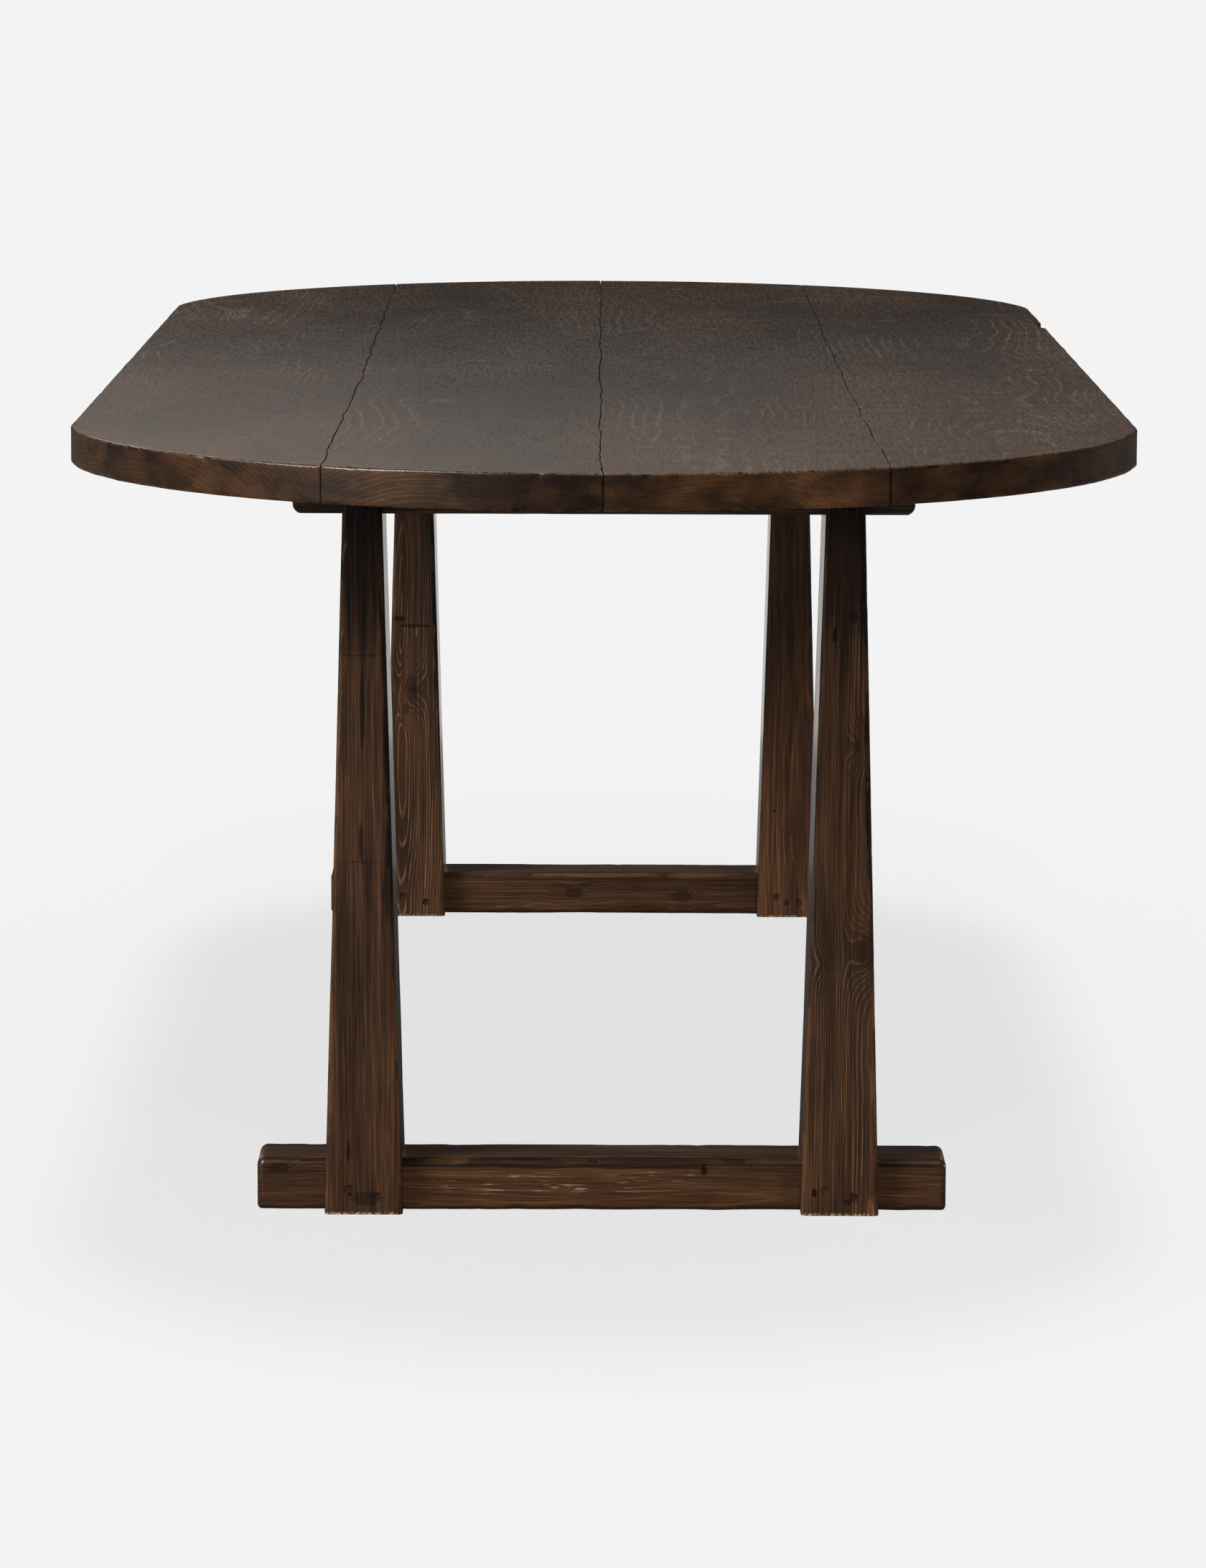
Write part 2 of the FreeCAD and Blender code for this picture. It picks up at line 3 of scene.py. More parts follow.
import bpy
import numpy as np
from mathutils import Matrix, Vector, geometry


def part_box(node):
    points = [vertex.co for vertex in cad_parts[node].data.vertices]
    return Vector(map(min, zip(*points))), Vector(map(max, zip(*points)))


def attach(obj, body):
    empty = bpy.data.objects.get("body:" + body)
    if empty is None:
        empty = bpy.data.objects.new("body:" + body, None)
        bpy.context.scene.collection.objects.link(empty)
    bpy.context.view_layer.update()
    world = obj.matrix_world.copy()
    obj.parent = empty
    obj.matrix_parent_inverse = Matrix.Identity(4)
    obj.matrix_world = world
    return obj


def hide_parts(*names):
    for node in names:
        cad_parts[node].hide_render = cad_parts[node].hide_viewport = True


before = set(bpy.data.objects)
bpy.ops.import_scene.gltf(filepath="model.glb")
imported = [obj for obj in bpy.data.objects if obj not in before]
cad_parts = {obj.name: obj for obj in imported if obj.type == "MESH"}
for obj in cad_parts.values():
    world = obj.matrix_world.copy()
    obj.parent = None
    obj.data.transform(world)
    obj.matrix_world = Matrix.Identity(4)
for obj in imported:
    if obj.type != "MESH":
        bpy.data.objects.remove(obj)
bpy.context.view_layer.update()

# Dining table of dark reclaimed planks on two end frames. Metres, +Z up, +Y along the table.
MM = 0.001

# Photograph's frame and the camera fitted to it
IMAGE_WIDTH = 1680
IMAGE_HEIGHT = 2185
FOCAL_PIXELS = 8922.9
CAMERA_PLACE = (-7.4 * MM, -7066.0 * MM, 1333.7 * MM)
CAMERA_YAW = -0.0012
CAMERA_PITCH = 0.1469
CAMERA_ROLL = 0.0034
SENSOR_MM = 36.0
FARTHEST_SEEN = 400

# Sizes read from the frame
TOP_LOW, TOP_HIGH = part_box("top_board_inner_left")
TABLE_TOP = TOP_HIGH[2]
SLAB_UNDERSIDE = TOP_LOW[2]
HALF_LENGTH = TOP_HIGH[1]
HALF_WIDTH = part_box("top_board_outer_right")[1][0]
END_BOW_SHARE = 0.445
END_BOW = 2 * HALF_WIDTH * END_BOW_SHARE
CORNER_RADIUS = 150 * MM
RIM_RADIUS = (HALF_WIDTH ** 2 + END_BOW ** 2) / (2 * END_BOW)
RIM_CENTRE = HALF_LENGTH - RIM_RADIUS
LEG_LOW, LEG_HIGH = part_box("front_right_leg")
LEG_CENTRE = (LEG_LOW[0] + LEG_HIGH[0]) / 2
FRAME_CENTRE = -(LEG_LOW[1] + LEG_HIGH[1]) / 2
LEG_DEPTH = LEG_HIGH[1] - LEG_LOW[1]
LEG_FOOT_WIDTH = LEG_HIGH[0] - LEG_LOW[0]
LEG_HEAD_WIDTH = 37 * MM
SKIN = 0.06 * MM


# Noise on arrays of points
AXIS_KEYS = (0x27D4EB2D, 0x165667B1, 0x9E3779B1)
SCRAMBLE = ((15, 0x85EBCA6B), (13, 0xC2B2AE35))
SEED_STEP = 7919
HALF_RANGE = 2147483647.5


def lattice(cells, seed):
    """Random numbers from -1 to 1 for rows of three whole numbers."""
    keys = cells.astype(np.int64).astype(np.uint64).astype(np.uint32)
    mixed = np.zeros(len(keys), np.uint32)
    for axis, key in enumerate(AXIS_KEYS):
        mixed ^= keys[:, axis] * np.uint32(key)
    mixed += np.uint32(seed * SEED_STEP % 2 ** 32)
    for shift, factor in SCRAMBLE:
        mixed ^= mixed >> np.uint32(shift)
        mixed *= np.uint32(factor)
    mixed ^= mixed >> np.uint32(16)
    return mixed.astype(np.float64) / HALF_RANGE - 1.0


def noise(points, size, seed):
    """Smooth noise from -1 to 1; size is the length of one swell along each axis."""
    scaled = points / np.asarray(size, float)
    cell = np.floor(scaled)
    part = scaled - cell
    part = part * part * (3 - 2 * part)
    total = np.zeros(len(points))
    for corner in np.ndindex(2, 2, 2):
        offset = np.asarray(corner, float)
        weight = np.prod(np.where(offset > 0, part, 1 - part), axis=1)
        total += weight * lattice(cell + offset, seed)
    return total


def layered(points, size, seed, layers=3):
    """Sum of noises, each half the size and half the strength of the one before."""
    size = np.asarray(size, float)
    total = np.zeros(len(points))
    strength = 1.0
    for layer in range(layers):
        total += strength * noise(points, size, seed + layer)
        size = size / 2
        strength /= 2
    return total


def level(xy):
    """Points at height 0 over places in plan."""
    return np.column_stack([xy, np.zeros(len(xy))])


def smooth(low, high, value):
    """0 below low, 1 above high, smooth between."""
    part = np.clip((value - low) / (high - low), 0, 1)
    return part * part * (3 - 2 * part)


# Meshes

def add_object(name, data):
    """A new object in the scene."""
    made = bpy.data.objects.new(name, data)
    bpy.context.scene.collection.objects.link(made)
    return made


def new_piece(name, points, faces, marks, replaced):
    """A mesh piece that stands for a CAD node, with masks of its wear, dirt and painted shade kept as
    attributes.
    """
    mesh = bpy.data.meshes.new(name)
    mesh.from_pydata([tuple(point) for point in points], [], faces)
    for key, amounts in marks.items():
        layer = mesh.attributes.new(key, "FLOAT", "POINT")
        layer.data.foreach_set("value", np.asarray(amounts, np.float32))
    mesh.validate()
    mesh.update()
    piece = add_object(name, mesh)
    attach(piece, "root")
    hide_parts(replaced)
    return piece


def ring_faces(rows, columns):
    """Quads between rows of points, each row a loop."""
    faces = []
    for low in range(0, (rows - 1) * columns, columns):
        high = low + columns
        for column in range(columns):
            following = (column + 1) % columns
            faces.append((low + column, low + following, high + following, high + column))
    return faces


def trim_to_node(piece, node):
    """Cuts a skin to the inside of the CAD node that it stands for, which gives its slots and holes."""
    trim = piece.modifiers.new("trim", "BOOLEAN")
    trim.operation = "INTERSECT"
    trim.solver = "EXACT"
    trim.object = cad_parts[node]
    bpy.context.view_layer.update()
    shape = piece.evaluated_get(bpy.context.evaluated_depsgraph_get())
    mesh = bpy.data.meshes.new_from_object(shape)
    piece.modifiers.remove(trim)
    old = piece.data
    piece.data = mesh
    bpy.data.meshes.remove(old)
    mesh.name = piece.name


def shade(piece, angle):
    """Smooth shading with edges sharper than the angle kept crisp."""
    mesh = piece.data
    mesh.polygons.foreach_set("use_smooth", np.ones(len(mesh.polygons), bool))
    mesh.set_sharp_from_angle(angle=math.radians(angle))
    mesh.update()


# Bars: legs and rails, swept along their grain
BAR_STEP = 4 * MM
CORNER_STEPS = 6
SIDE_STEPS = 22
END_STEPS = 4
BAR_CREASE = 38
LEG_ARRIS = 3.6 * MM
LEG_END_ARRIS = 1.2 * MM
LEAST_ARRIS = 1.2 * MM
GREATEST_ARRIS = 9 * MM
ARRIS_SWELL = 0.35
ARRIS_NICK = 5 * MM
HOLLOW_DEPTH = 0.22 * MM
FIBRE_DEPTH = 0.06 * MM
RUB_DEPTH = 0.5 * MM
# Lengths of one swell of a bar's noises: across, deep and along, in metres
SWELL_SIZE = (0.1, 0.1, 0.045)
NICK_SIZE = (0.1, 0.1, 0.012)
HOLLOW_SIZE = (0.03, 0.03, 0.16)
FIBRE_SIZE = (0.0035, 0.0035, 0.06)
RUB_SIZE = (0.02, 0.02, 0.02)


def bar_section(half_width, half_depth, radii):
    """Points round a rectangle with four corner radii, each with 1 at mid corner and 0 on the sides."""
    signs = [(1, 1), (-1, 1), (-1, -1), (1, -1)]

    def on_corner(quarter, turn):
        """The point of a corner's arc at an angle."""
        radius = radii[quarter]
        return (
            signs[quarter][0] * (half_width - radius) + radius * math.cos(turn),
            signs[quarter][1] * (half_depth - radius) + radius * math.sin(turn),
        )

    loop = []
    for quarter in range(4):
        for step in range(CORNER_STEPS + 1):
            turn = math.pi / 2 * (quarter + step / CORNER_STEPS)
            loop.append((*on_corner(quarter, turn), math.sin(math.pi * step / CORNER_STEPS)))
        start = loop[-1]
        following = (quarter + 1) % 4
        target = on_corner(following, math.pi / 2 * following)
        for step in range(1, SIDE_STEPS):
            part = step / SIDE_STEPS
            loop.append((
                start[0] + (target[0] - start[0]) * part,
                start[1] + (target[1] - start[1]) * part,
                0.0,
            ))
    return loop


def bar_stations(length, end_arris):
    """Places along a bar, each with its step up the rounding of the ends, 0 to END_STEPS."""
    rounding = [
        (end_arris * (1 - math.cos(math.pi / 2 * part / END_STEPS)), part) for part in range(END_STEPS)
    ]
    middle = np.linspace(end_arris, length - end_arris, int(length / BAR_STEP))
    stations = list(rounding)
    stations += [(along, END_STEPS) for along in middle]
    stations += [(length - along, part) for along, part in reversed(rounding)]
    return stations


def make_bar(name, length, half_width, half_depth, arris, end_arris, seed, place, arris_shade=None):
    """A worn bar swept along its length. half_width and half_depth are functions of the place along it,
    place turns (across, deep, along) into the table's frame, and the last function gives points' share of
    painted shade, a dark band where a face turns away from the key light."""
    rows = []
    for along, part in bar_stations(length, end_arris):
        pull = end_arris * (1 - math.sin(math.pi / 2 * part / END_STEPS))
        probe = np.array([[corner * 0.37, 0.0, along] for corner in range(4)])
        swell = layered(probe, SWELL_SIZE, seed + 11)
        nick = np.clip(noise(probe, NICK_SIZE, seed + 17) - 0.45, 0, 1)
        radii = np.clip(arris * (1 + ARRIS_SWELL * swell) + ARRIS_NICK * nick, LEAST_ARRIS, GREATEST_ARRIS)
        width = half_width(along) - SKIN - pull
        depth = half_depth(along) - SKIN - pull
        rows.append([(u, v, along, share) for u, v, share in bar_section(width, depth, radii)])
    columns = len(rows[0])
    flat = np.array([point for row in rows for point in row])
    local = flat[:, :3].copy()
    share = flat[:, 3]

    # Hollows, fibres and rubbed arrises, all cut inward
    hollow = layered(local, HOLLOW_SIZE, seed + 3)
    fibre = noise(local, FIBRE_SIZE, seed + 5)
    rub = noise(local, RUB_SIZE, seed + 7)
    inward = HOLLOW_DEPTH * (hollow + 1.3) + FIBRE_DEPTH * (fibre + 1) + share * RUB_DEPTH * (rub + 1)
    widths = np.array([half_width(along) for along in local[:, 2]])
    depths = np.array([half_depth(along) for along in local[:, 2]])
    on_u = smooth(0.8, 1.0, np.abs(local[:, 0]) / widths)
    on_v = smooth(0.8, 1.0, np.abs(local[:, 1]) / depths)
    norm = np.maximum(np.hypot(on_u, on_v), 1e-6)
    local[:, 0] -= np.sign(local[:, 0]) * inward * on_u / norm
    local[:, 1] -= np.sign(local[:, 1]) * inward * on_v / norm

    ends = np.minimum(local[:, 2], length - local[:, 2])
    points = place(local)
    marks = {
        "worn": np.maximum(share, 1 - smooth(0, 3 * MM, ends)),
        "bare": 1 - smooth(0, 3.5 * MM, points[:, 2]),
        # On a leg this mask is painted shade along its right-hand front arris; on a rail it is empty
        "grime_and_shade": arris_shade(local) if arris_shade else np.zeros(len(points)),
    }
    faces = ring_faces(len(rows), columns)
    faces.append(tuple(reversed(range(columns))))
    last = (len(rows) - 1) * columns
    faces.append(tuple(range(last, last + columns)))
    piece = new_piece(f"{name}_wood", points, faces, marks, name)
    trim_to_node(piece, name)
    shade(piece, BAR_CREASE)
    return piece


def make_leg(name, side, end, seed):
    """Tapered leg, its grain running up."""
    def half_width(along):
        return (LEG_FOOT_WIDTH + (LEG_HEAD_WIDTH - LEG_FOOT_WIDTH) * along / SLAB_UNDERSIDE) / 2

    def half_depth(along):
        return LEG_DEPTH / 2

    def placed(local):
        return local + np.array([side * LEG_CENTRE, end * FRAME_CENTRE, 0.0])

    def arris_shade(local):
        """Painted shade along the right-hand front arris, which faces away from the key light, thinning
        towards the foot.
        """
        waver = 1.5 * MM * noise(local, (1, 1, 0.03), seed + 21)
        near = 1 - smooth(3 * MM, 7 * MM, half_width(local[:, 2]) - local[:, 0] + waver)
        front = 1 - smooth(0, 2 * MM, local[:, 1] + LEG_DEPTH / 2 - 3 * MM)
        return near * front * smooth(120 * MM, 420 * MM, local[:, 2])

    return make_bar(
        name, SLAB_UNDERSIDE, half_width, half_depth, LEG_ARRIS, LEG_END_ARRIS, seed, placed, arris_shade
    )


def make_rail(name, arris, end_arris, seed):
    """Rail across the table, its grain running along X."""
    low, high = (np.array(corner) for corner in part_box(name))
    centre = (low + high) / 2
    size = high - low

    def placed(local):
        return np.stack([low[0] + local[:, 2], centre[1] + local[:, 0], centre[2] + local[:, 1]], axis=1)

    return make_bar(
        name, size[0], lambda along: size[1] / 2, lambda along: size[2] / 2, arris, end_arris, seed, placed
    )


# Planks
TANGENT_SPAN = 9
CORNER_BLEND = 40 * MM
UPPER_STEPS = 6
LOWER_STEPS = 4
SIDE_LEVELS = 10
BOARD_CREASE = 50
SEAM_HALF_GAP = 0.3 * MM
SEAM_ARRIS = 0.8 * MM
SEAM_ARRIS_CHANGE = 0.6 * MM
SEAM_ARRIS_LIMITS = (0.3 * MM, 2.8 * MM)
SEAM_BREAK = 3.2 * MM
RIM_ARRIS = 2.4 * MM
RIM_ARRIS_CHANGE = 0.7 * MM
RIM_ARRIS_LIMITS = (1.0 * MM, 4.5 * MM)
RIM_BREAK = 2.2 * MM
LOWER_ARRIS = 1.8 * MM
LOWER_ARRIS_CHANGE = 0.9 * MM
RIPPLE_DEPTH = 0.12 * MM
CROWN_DEPTH = 0.17 * MM
CROWN_CHANGE = 0.1 * MM
CROWN_SWELL = (0.11, 0.45, 1)
CROWN_RIPPLE = (0.05, 0.16, 1)
FLAT_INSET = 9 * MM
FLAT_BULGE = 3 * MM
UPPER_GRID = (10 * MM, 22 * MM)
LOWER_GRID = (60 * MM, 120 * MM)
GRID_JITTER = 0.25
GRID_MARGIN = 4 * MM
SIDE_BINS = 400

# Seams at rest and how far each wanders sideways: place along the table, wander, in millimetres
SEAM_PLACES = [-261.4 * MM, 0.0, 261.4 * MM]
SEAM_WANDER = [
    [(-1270, 2.4), (-1192, 2.2), (-1084, 1.3), (-921, 1.0), (-758, 2.1), (-650, 3.0), (-379, 3.1),
     (-217, 3.0), (-100, 1.4), (54, 1.8), (163, -0.7), (325, -0.8), (542, -0.7), (704, -1.8), (813, -3.0),
     (921, -4.4), (1029, -3.4), (1192, -5.2), (1270, -5.4)],
    [(-1275, -0.8), (-1205, -2.6), (-1090, -3.5), (-631, -3.7), (-402, -1.9), (-287, -3.2), (-115, -3.9),
     (57, -2.4), (172, -3.6), (402, -2.2), (574, -2.9), (746, -2.6), (918, -1.1), (1090, -2.7),
     (1275, -3.4)],
    [(-1270, 0.6), (-1138, 1.7), (-1029, 0.7), (-921, -1.3), (-758, -1.7), (-704, -3.6), (-488, -3.1),
     (-325, -5.0), (-217, -4.8), (0, -4.4), (108, -3.8), (217, -5.6), (433, -4.6), (700, -3.7),
     (867, -3.9), (1270, -5.2)],
]
# Raggedness of the seams: depth, length, seed
SEAM_RAGS = [(1.2 * MM, 0.075, 41), (0.6 * MM, 0.022, 43)]
# Stretch of the near rim whose arris is rubbed rounder
RUBBED_PLACE = -270 * MM
RUBBED_REACH = 100 * MM
RUBBED_EXTRA = 1.2 * MM
# x, y, half length along the rim, depth inward, depth down, in millimetres
CHIPS = [
    (522, 530, 46, 3.2, 30),
    (522, 505, 16, 2.2, 14),
    (-447, -1026, 14, 1.6, 3.0),
    (-436, -1043, 10, 1.2, 2.2),
    (305, -1178, 10, 2.2, 5.0),
    (-372, -1121, 9, 1.4, 3.0),
    (38, -1274, 6, 1.2, 5.0),
    (395, -1096, 24, 1.2, 2.0),
    (-60, -1272, 5, 1.0, 2.5),
]


def seam_offset(seam, along):
    """How far a seam wanders across the table at places along it, with its small breaks."""
    stations = np.array(SEAM_WANDER[seam]) * MM
    drift = np.interp(along, stations[:, 0], stations[:, 1])
    probe = np.stack([along, np.full(len(along), seam * 1.7), np.zeros(len(along))], axis=1)
    ragged = sum(depth * noise(probe, (length, 1, 1), seed) for depth, length, seed in SEAM_RAGS)
    return drift + ragged


def arc(centre, radius, start, stop, spacing=3 * MM):
    """Points along a circular arc between two angles."""
    count = max(6, int(abs(stop - start) * radius / spacing))
    angles = np.linspace(start, stop, count + 1)
    return np.stack([centre[0] + radius * np.cos(angles), centre[1] + radius * np.sin(angles)], axis=1)


def rim_path(start, stop, far):
    """Points along one round end from one x to another, short of its corners."""
    side = 1 if far else -1
    angles = [side * math.acos(x / RIM_RADIUS) for x in (start, stop)]
    return arc((0, side * RIM_CENTRE), RIM_RADIUS, *angles)


def side_path(seam_x_near, seam_x_far):
    """The rim of the right-hand outer plank, anticlockwise from its near seam to its far one."""
    across = HALF_WIDTH - CORNER_RADIUS
    along = RIM_CENTRE + math.sqrt((RIM_RADIUS - CORNER_RADIUS) ** 2 - across ** 2)
    turn = math.atan2(along - RIM_CENTRE, across)
    near_start = -math.acos(seam_x_near / RIM_RADIUS)
    pieces = [
        arc((0, -RIM_CENTRE), RIM_RADIUS, near_start, -turn)[:-1],
        arc((across, -along), CORNER_RADIUS, -turn, 0)[:-1],
        straight((HALF_WIDTH, -along), (HALF_WIDTH, along))[:-1],
        arc((across, along), CORNER_RADIUS, 0, turn)[:-1],
        arc((0, RIM_CENTRE), RIM_RADIUS, turn, math.acos(seam_x_far / RIM_RADIUS)),
    ]
    return np.concatenate(pieces)


def straight(start, stop, spacing=4 * MM):
    """Points between two places."""
    start = np.asarray(start, float)
    stop = np.asarray(stop, float)
    count = max(2, int(np.linalg.norm(stop - start) / spacing))
    part = np.linspace(0, 1, count + 1)[:, None]
    return start + (stop - start) * part


def seam_points(seam, side, upward, spacing=3.2 * MM):
    """Points along one plank's edge at a seam; side is +1 for the plank left of the seam."""
    x = SEAM_PLACES[seam]
    reach = RIM_CENTRE + math.sqrt(RIM_RADIUS ** 2 - x ** 2)
    count = int(2 * reach / spacing)
    along = np.linspace(-reach, reach, count + 1)
    if not upward:
        along = along[::-1]
    across = x + seam_offset(seam, along) - side * SEAM_HALF_GAP
    # Ends meet the rim where the rim really is at that x
    limit = RIM_CENTRE + np.sqrt(RIM_RADIUS ** 2 - across ** 2)
    along = along * limit / reach
    return np.stack([across, along], axis=1)


def board_outline(index):
    """Segments of a plank's outline, anticlockwise, each with its kind; segments meet at real corners."""
    if index == 0:
        seam = seam_points(index, 1, True)
        rim = side_path(-seam[-1][0], -seam[0][0]) * (-1, -1)
        return [("rim", rim), ("seam", seam)]
    if index == 3:
        seam = seam_points(index - 1, -1, False)
        return [("rim", side_path(seam[-1][0], seam[0][0])), ("seam", seam)]
    right_seam = seam_points(index, 1, True)
    left_seam = seam_points(index - 1, -1, False)
    near = rim_path(left_seam[-1][0], right_seam[0][0], False)
    far = rim_path(right_seam[-1][0], left_seam[0][0], True)
    return [("rim", near), ("seam", right_seam), ("rim", far), ("seam", left_seam)]


def segment_frame(points):
    """Tangents, inward normals and distances along a polyline that runs anticlockwise."""
    step = np.gradient(points, axis=0)
    kernel = np.ones(TANGENT_SPAN) / TANGENT_SPAN
    padded = np.pad(step, ((TANGENT_SPAN // 2, TANGENT_SPAN // 2), (0, 0)), mode="edge")
    step = np.stack([np.convolve(padded[:, axis], kernel, "valid") for axis in range(2)], axis=1)
    tangent = step / np.linalg.norm(step, axis=1)[:, None]
    inward = np.stack([-tangent[:, 1], tangent[:, 0]], axis=1)
    lengths = np.concatenate([[0], np.cumsum(np.linalg.norm(np.diff(points, axis=0), axis=1))])
    return tangent, inward, lengths


def corner_slope(before, after):
    """Tangent of half the turn between two directions."""
    turn = math.acos(max(-1, min(1, float(np.dot(before, after)))))
    return math.tan(turn / 2)


def board_loop(index):
    """A plank's outline as one loop: its points, how each slides along the outline as it's drawn in, its
    inward normal, and 1 on a seam or 0 on the rim."""
    segments = board_outline(index)
    frames = [segment_frame(points) for _, points in segments]
    loop, slides, normals, kinds = [], [], [], []
    for number, (kind, points) in enumerate(segments):
        tangent, inward, lengths = frames[number]
        before = frames[number - 1][0][-1]
        after = frames[(number + 1) % len(frames)][0][0]
        total = lengths[-1]
        reach = min(CORNER_BLEND, total / 2)
        shift = corner_slope(before, tangent[0]) * np.clip(1 - lengths / reach, 0, 1)
        shift -= corner_slope(tangent[-1], after) * np.clip(1 - (total - lengths) / reach, 0, 1)
        loop.append(points[:-1])
        slides.append((tangent * shift[:, None])[:-1])
        normals.append(inward[:-1])
        kinds.append(np.full(len(points) - 1, 1.0 if kind == "seam" else 0.0))
    return [np.concatenate(rows) for rows in (loop, slides, normals, kinds)]


def crown(xy, seed):
    """Height of a plank's top face under the frame's top, for its slight hollows and undulations."""
    probe = level(xy)
    swell = noise(probe, CROWN_SWELL, seed + 1) + 0.5 * noise(probe, CROWN_RIPPLE, seed + 2)
    return -CROWN_DEPTH - CROWN_CHANGE * swell


def upper_arris(outline, seam, seed):
    """Radius of the upper arris round an outline: sharp at the seams, rubbed and broken in places."""
    probe = level(outline)
    at_seam = SEAM_ARRIS + SEAM_ARRIS_CHANGE * layered(probe, (0.03, 0.03, 1), seed + 1)
    at_rim = RIM_ARRIS + RIM_ARRIS_CHANGE * layered(probe, (0.06, 0.06, 1), seed + 2)
    at_seam = np.clip(at_seam, *SEAM_ARRIS_LIMITS)
    arris = np.where(seam > 0.5, at_seam, np.clip(at_rim, *RIM_ARRIS_LIMITS))
    near_rim = (outline[:, 1] < 0) * (1 - seam)
    arris = arris + RUBBED_EXTRA * np.exp(-((outline[:, 0] - RUBBED_PLACE) / RUBBED_REACH) ** 2) * near_rim
    breaks = np.clip(noise(probe, (0.011, 0.011, 1), seed + 3) - 0.5, 0, 1)
    return arris + np.where(seam > 0.5, SEAM_BREAK * breaks, RIM_BREAK * breaks)


def chip_reach(outline, seed):
    """How far in and how far down the rim's chips go round an outline."""
    rough = 1 + 0.35 * noise(level(outline), (0.006, 0.006, 1), seed)
    reach_in = np.zeros(len(outline))
    reach_down = np.full(len(outline), 1 * MM)
    for x, y, half_length, depth, down in CHIPS:
        apart = np.hypot(outline[:, 0] - x * MM, outline[:, 1] - y * MM)
        share = 1 - smooth(0.55 * half_length * MM, half_length * MM, apart)
        reach_in = np.maximum(reach_in, share * depth * MM * rough)
        reach_down = np.where(share > 0.01, np.maximum(reach_down, down * MM), reach_down)
    return reach_in, reach_down


def make_board(name, index, seed):
    """A plank of the top with worn arrises, ragged seams and a chipped rim."""
    outline, slide, inward, seam = board_loop(index)
    count = len(outline)
    arris = upper_arris(outline, seam, seed)
    wander = layered(level(outline), (0.02, 0.02, 1), seed + 4)
    lower_arris = LOWER_ARRIS + LOWER_ARRIS_CHANGE * np.clip(wander, -0.8, 2)
    chip_in, chip_down = chip_reach(outline, seed + 5)
    thickness = TABLE_TOP - SLAB_UNDERSIDE
    rings, worn_rows, grime_rows = [], [], []

    def add_ring(inset, depth, wear):
        """One loop of points, drawn in by inset and down by depth from the top face."""
        inset, depth, wear = (np.broadcast_to(amount, count) for amount in (inset, depth, wear))
        xy = outline + inward * inset[:, None] + slide * inset[:, None]
        rings.append(np.column_stack([xy, TABLE_TOP - SKIN - depth]))
        worn_rows.append(wear * (1 - 0.8 * seam))
        in_seam = seam * smooth(0.4 * MM, 1.6 * MM, depth)
        in_chip = smooth(0.3 * MM, 1.5 * MM, chip_in) * smooth(0.2 * MM, 1.5 * MM, depth)
        grime_rows.append(np.maximum(in_seam, 0.8 * in_chip * (depth < chip_down)))

    # Bulges along the straight sides: a loop with a straight stretch doesn't fill cleanly
    add_ring(FLAT_INSET + FLAT_BULGE * (outline[:, 1] / HALF_LENGTH) ** 2, 0, 0)
    add_ring(np.maximum(arris + chip_in * 1.6, 0) + 2.5 * MM, 0, 0)
    for step in range(UPPER_STEPS + 1):
        angle = math.pi / 2 * step / UPPER_STEPS
        inset = arris * (1 - math.sin(angle)) + chip_in
        depth = arris * (1 - math.cos(angle)) + chip_in * 0.5 * math.cos(angle)
        add_ring(inset, depth, math.sin(math.pi * min(step + 0.7, UPPER_STEPS) / UPPER_STEPS))
    for part in np.linspace(0, 1, SIDE_LEVELS)[1:-1]:
        depth = arris + (thickness - arris - lower_arris) * part
        fade = 1 - smooth(0.4, 1.0, depth / chip_down)
        ripple = noise(np.column_stack([outline, -depth]), (0.05, 0.05, 0.012), seed + 6)
        ripple = np.where(seam > 0.5, 0.0, RIPPLE_DEPTH * (ripple + 1))
        add_ring(chip_in * fade + ripple, depth, 0.15 * fade * (chip_in > 0))
    for step in range(LOWER_STEPS + 1):
        angle = math.pi / 2 * step / LOWER_STEPS
        inset = lower_arris * (1 - math.cos(angle))
        depth = thickness - SKIN - lower_arris * (1 - math.sin(angle))
        turn = math.pi * max(step, 0.6) / LOWER_STEPS if step < LOWER_STEPS else 0.3
        add_ring(inset, depth, math.sin(turn))
    add_ring(lower_arris + 6 * MM, thickness - SKIN, 0)

    points = np.concatenate(rings)
    share = smooth(0.5, 1.0, (points[:, 2] - SLAB_UNDERSIDE) / thickness)
    points[:, 2] += share * crown(points[:, :2], seed)
    # ring_faces runs top to bottom with the loop anticlockwise, so its faces point inward: turn them
    faces = [tuple(reversed(face)) for face in ring_faces(len(rings), count)]
    ringed = len(points)
    points, faces = fill_ring(points, faces, 0, count, seed, True)
    points, faces = fill_ring(points, faces, ringed - count, count, seed, False)
    inner = np.zeros(len(points) - ringed)
    marks = {
        "worn": np.concatenate(worn_rows + [inner]),
        "grime_and_shade": np.concatenate(grime_rows + [inner]),
        "bare": np.zeros(len(points)),
    }
    piece = new_piece(f"{name}_wood", points, faces, marks, name)
    shade(piece, BOARD_CREASE)
    return piece


